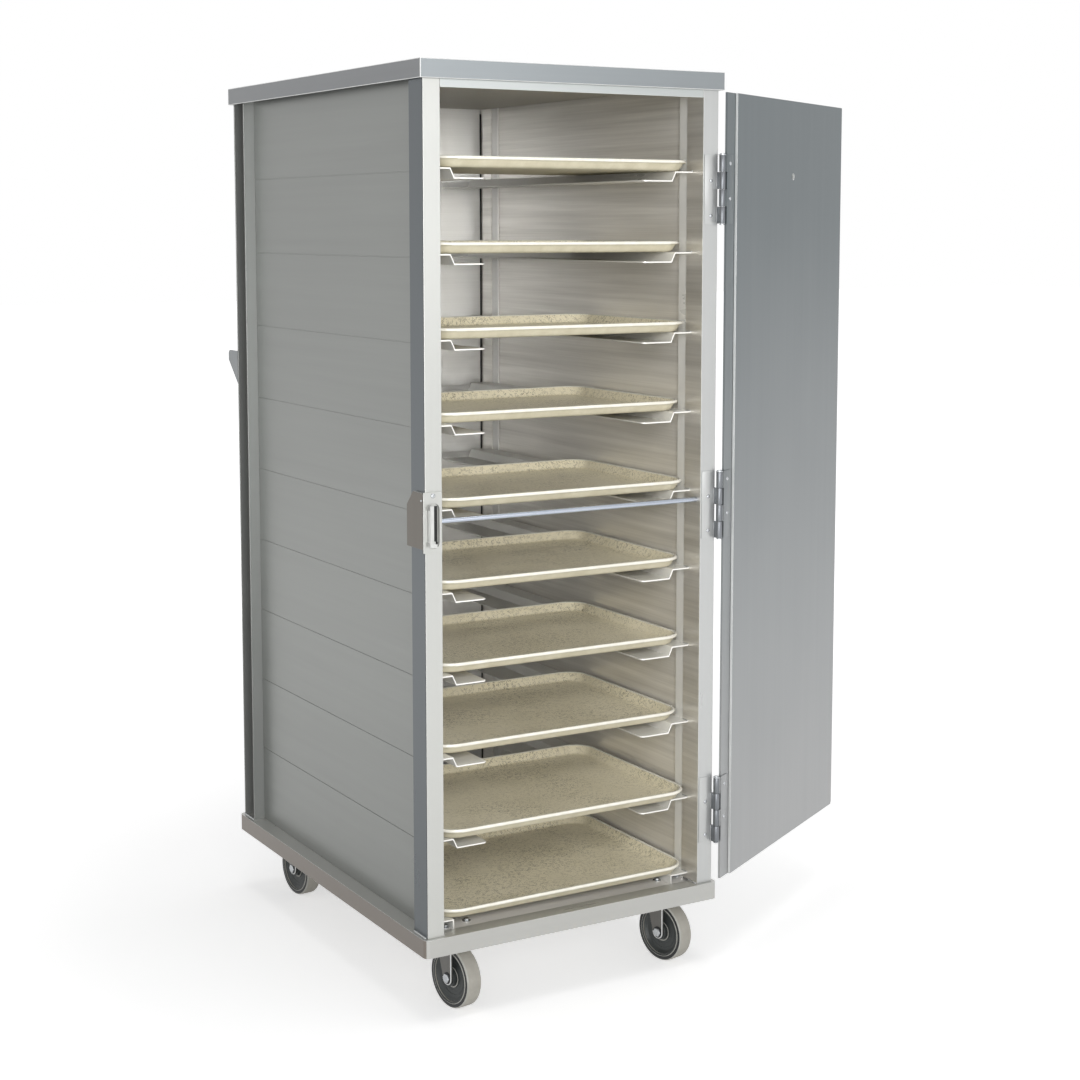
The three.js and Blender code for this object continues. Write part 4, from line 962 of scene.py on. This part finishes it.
ripples = []
for side in (-1, 1):
    ripples += bead(side * (HALF_WIDTH - 32.75), BASE_TOP + 0.6, FRONT + 3, FRONT + 26)
    ripples += bead(side * (HALF_WIDTH + 0.6), BASE_TOP + 0.6, FRONT + 6, FRONT + 46)
    ripples += bead(side * HALF_WIDTH, BASE_TOP + 0.6, BACK - 48, BACK - 6)
beads = joined(ripples, "post_foot_welds")
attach(beads, "cabinet")
print("welds", len(beads.data.polygons), "faces at the posts' feet")

# %% Weld the slides
LOWEST_SLIDE, SLIDE_PITCH = 162, 143
ripples = []
for level in range(10):
    for side in (-1, 1):
        height = LOWEST_SLIDE + SLIDE_PITCH * level + 0.4
        ripples += bead(side * (HALF_WIDTH - 31), height, FRONT + 34, FRONT + 48)
beads = joined(ripples, "slide_welds")
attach(beads, "cabinet")
bpy.data.objects.remove(ripple)
print("welds", len(beads.data.polygons), "faces on the slides")

# %% [markdown]
# ## Cross rod and push handle
#
# The rod and the grip are drawn tubes. Their packed versions have few sides, so both are made again: a long
# cylinder whose ends are stepped to a small chamfer, and for the grip two cheeks cut from sheet. A cheek
# starts as a thin plate; its lower outer corners are pushed up to the slope, and its upper outer edge is
# rounded.

# %% Model the rod
low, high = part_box("cross_rod")
middle = (low + high) / 2
length = high.x - low.x
rod = start("cylinder", "cross_rod_drawn", vertices=48, radius=4.75 * MM, depth=length, rotation=EDGE_ON)
rod.data.transform(Matrix.Translation(middle))
for direction in outwards:
    stepped(rod, direction, [(0.5, 0.1)])
rounded(rod, rod_steel)
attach(rod, "cabinet")
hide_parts("cross_rod")
print("rod", round(length / MM, 1), "mm")

# %% Model the push handle
HANDLE_FOOT, HANDLE_TOP, HANDLE_NEAR, HANDLE_FAR = 1037, 1103, BACK + 0.3, BACK + 48.6
SHEET, FLANGE, SLOPE, TOP_RADIUS, GRIP_RADIUS = 3, 22, 46, 8, 9.5
parts = []
for side in (-1, 1):
    across = sorted((side * HALF_WIDTH, side * (HALF_WIDTH - SHEET)))
    cheek = plate("cheek", (across, (HANDLE_NEAR, HANDLE_FAR), (HANDLE_FOOT, HANDLE_TOP)), handle_metal, 0)
    at_end = (HANDLE_FAR - 0.1) * MM
    pick(cheek, lambda middle, along: middle.y > at_end and middle.z < (HANDLE_FOOT + 1) * MM, "VERT")
    bpy.ops.transform.translate(value=(0, 0, SLOPE * MM))
    pick(cheek, lambda middle, along: middle.y > at_end and middle.z > (HANDLE_TOP - 1) * MM, "EDGE")
    bpy.ops.mesh.bevel(offset=TOP_RADIUS * MM, segments=10)
    bpy.ops.object.mode_set(mode="OBJECT")
    parts.append(cheek)
    across = sorted((side * (HALF_WIDTH - SHEET), side * (HALF_WIDTH - SHEET - FLANGE)))
    spans = (across, (HANDLE_NEAR, HANDLE_NEAR + SHEET), (HANDLE_FOOT, HANDLE_TOP))
    parts.append(plate("flange", spans, handle_metal, 0.4))
length = (2 * HALF_WIDTH - 2) * MM
grip = start("cylinder", "grip", vertices=64, radius=GRIP_RADIUS * MM, depth=length, rotation=EDGE_ON)
grip.data.transform(move(0, BACK + 36, HANDLE_TOP - 12.5))
parts.append(rounded(grip, zinc))
handle = joined(parts, "push_handle_bent")
handle.data.transform(at(0, 0, 0))
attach(handle, "cabinet")
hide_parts("push_handle")
print("push handle", len(handle.data.polygons), "faces")

# %% [markdown]
# ## Corner seams
#
# Inside, a dark line runs down each rear corner, where the rear wall meets the post. It is a thin strip with
# softened edges.

# %% Model the corner seams
SEAM_ACROSS, SEAM_DEPTH, SEAM_HEIGHT = (259.0, 261.6), (405.4, 407.4), (150, 1589)
seams = []
for side in (-1, 1):
    across = sorted(side * edge for edge in SEAM_ACROSS)
    seams.append(plate("seam", (across, SEAM_DEPTH, SEAM_HEIGHT), wheel_black, 0.5))
seams = joined(seams, "corner_seams")
seams.data.transform(at(0, 0, 0))
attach(seams, "cabinet")
print("two corner seams")

# %% [markdown]
# ## Studio
#
# Four large soft lamps light the cart: two in front, one above and a weak one at the left. A fifth stands
# for the light that the walls throw about inside the cabinet. It could be a lamp inside, but that would
# show in the metal; so it stands in front and is linked to the pieces inside, and the outside stays as it
# is.


# %% Place the lamps
def softbox(name, place, target, size, power):
    """A soft lamp, placed and aimed in metres from the floor under the middle of the cabinet."""
    lamp = bpy.data.objects.new(name, bpy.data.lights.new(name, "AREA"))
    bpy.context.scene.collection.objects.link(lamp)
    lamp.data.shape = "RECTANGLE"
    lamp.data.size, lamp.data.size_y = size
    lamp.data.energy = power
    lamp.location = CABINET_MIDDLE + Vector(place)
    aim = CABINET_MIDDLE + Vector(target) - lamp.location
    lamp.rotation_euler = aim.to_track_quat("-Z", "Y").to_euler()
    return lamp


softbox("key", (0.9, -4.3, 1.8), (0, 0, 0.8), (2.4, 1.8), 20)
softbox("front", (-1.8, -3.9, 1.1), (0.1, 0, 0.8), (2.4, 2.0), 58)
softbox("left", (-4.0, 0.6, 2.2), (0, 0, 0.7), (3.0, 3.0), 5)
softbox("top", (0.4, -0.2, 4.2), (0, 0, 0), (2.6, 2.6), 60)

INSIDE_NODES = ("right_wall", "rear_wall", "roof_panel", "floor_pan", "left_rack", "right_rack")
inside = bpy.data.collections.new("inside")
for piece in bpy.data.objects:
    if piece.name in INSIDE_NODES or piece.name.startswith(("tray_", "slide_welds")):
        inside.objects.link(piece)
fill = softbox("inside fill", (-1.1, -3.6, 2.0), (0.1, 0, 0.8), (1.5, 1.5), 100)
fill.light_linking.receiver_collection = inside

# %% [markdown]
# ## The white room
#
# The photograph has a white background, and its metal mirrors a white room. A world as bright as that would
# also wash out every shadow. So the world is white only to rays that show it, from the camera or by way of
# a mirror or glass; to all others it gives about a quarter of that. The floor does the same: it glows a
# little for the rays that show it.

# %% Make the room white
ROOM_LIGHT = 0.28  # what the white room gives as light


def grey(value):
    return (value, value, value, 1)


def shows(net):
    """1 for the rays that show what they hit: from the camera, from something shiny or through glass."""
    kinds = net.node("ShaderNodeLightPath")
    camera_ray, mirror_ray, glass_ray = (
        net.out(kinds, f"Is {kind} Ray") for kind in ("Camera", "Glossy", "Transmission")
    )
    return camera_ray.larger(mirror_ray).larger(glass_ray)


world = bpy.data.worlds.new("studio")
bpy.context.scene.world = world
world.use_nodes = True
sky = Net(world.node_tree)
dim, white = (
    sky.out(sky.node("ShaderNodeBackground", None, {"Color": grey(1), "Strength": power}), "Background")
    for power in (ROOM_LIGHT, 1.0)
)
mixed = sky.node("ShaderNodeMixShader", None, {0: shows(sky), 1: dim, 2: white})
sky.node("ShaderNodeOutputWorld", None, {"Surface": sky.out(mixed, "Shader")})
print("the room gives", ROOM_LIGHT, "of its brightness as light")

# %% Lay the floor
floor_finish = Finish("studio floor")
pale = floor_finish.blend(floor_finish.noise(3, 3.0), grey(0.86), grey(0.88))
matt = floor_finish.out(floor_finish.node("ShaderNodeBsdfDiffuse", None, {"Color": pale}), "BSDF")
far = floor_finish.node("ShaderNodeVectorMath", {"operation": "LENGTH"}, {0: floor_finish.place})
outer = (floor_finish.out(far, "Value") / 2.6 - 0.35).clamped()
glow = {"Color": floor_finish.blend(outer, grey(0.52), grey(0.9)), "Strength": 1.0}
shine = floor_finish.out(floor_finish.node("ShaderNodeEmission", None, glow), "Emission")
bright = floor_finish.out(floor_finish.node("ShaderNodeAddShader", None, {0: matt, 1: shine}), "Shader")
mixed = floor_finish.node("ShaderNodeMixShader", None, {0: shows(floor_finish), 1: matt, 2: bright})
floor_finish.node("ShaderNodeOutputMaterial", None, {"Surface": floor_finish.out(mixed, "Shader")})
bpy.ops.object.select_all(action="DESELECT")
bpy.ops.mesh.primitive_plane_add(size=60)
floor = bpy.context.object
floor.name = "studio_floor"
floor.data.materials.append(floor_finish.material)
bpy.context.scene.view_settings.view_transform = "Standard"
print("studio ready")
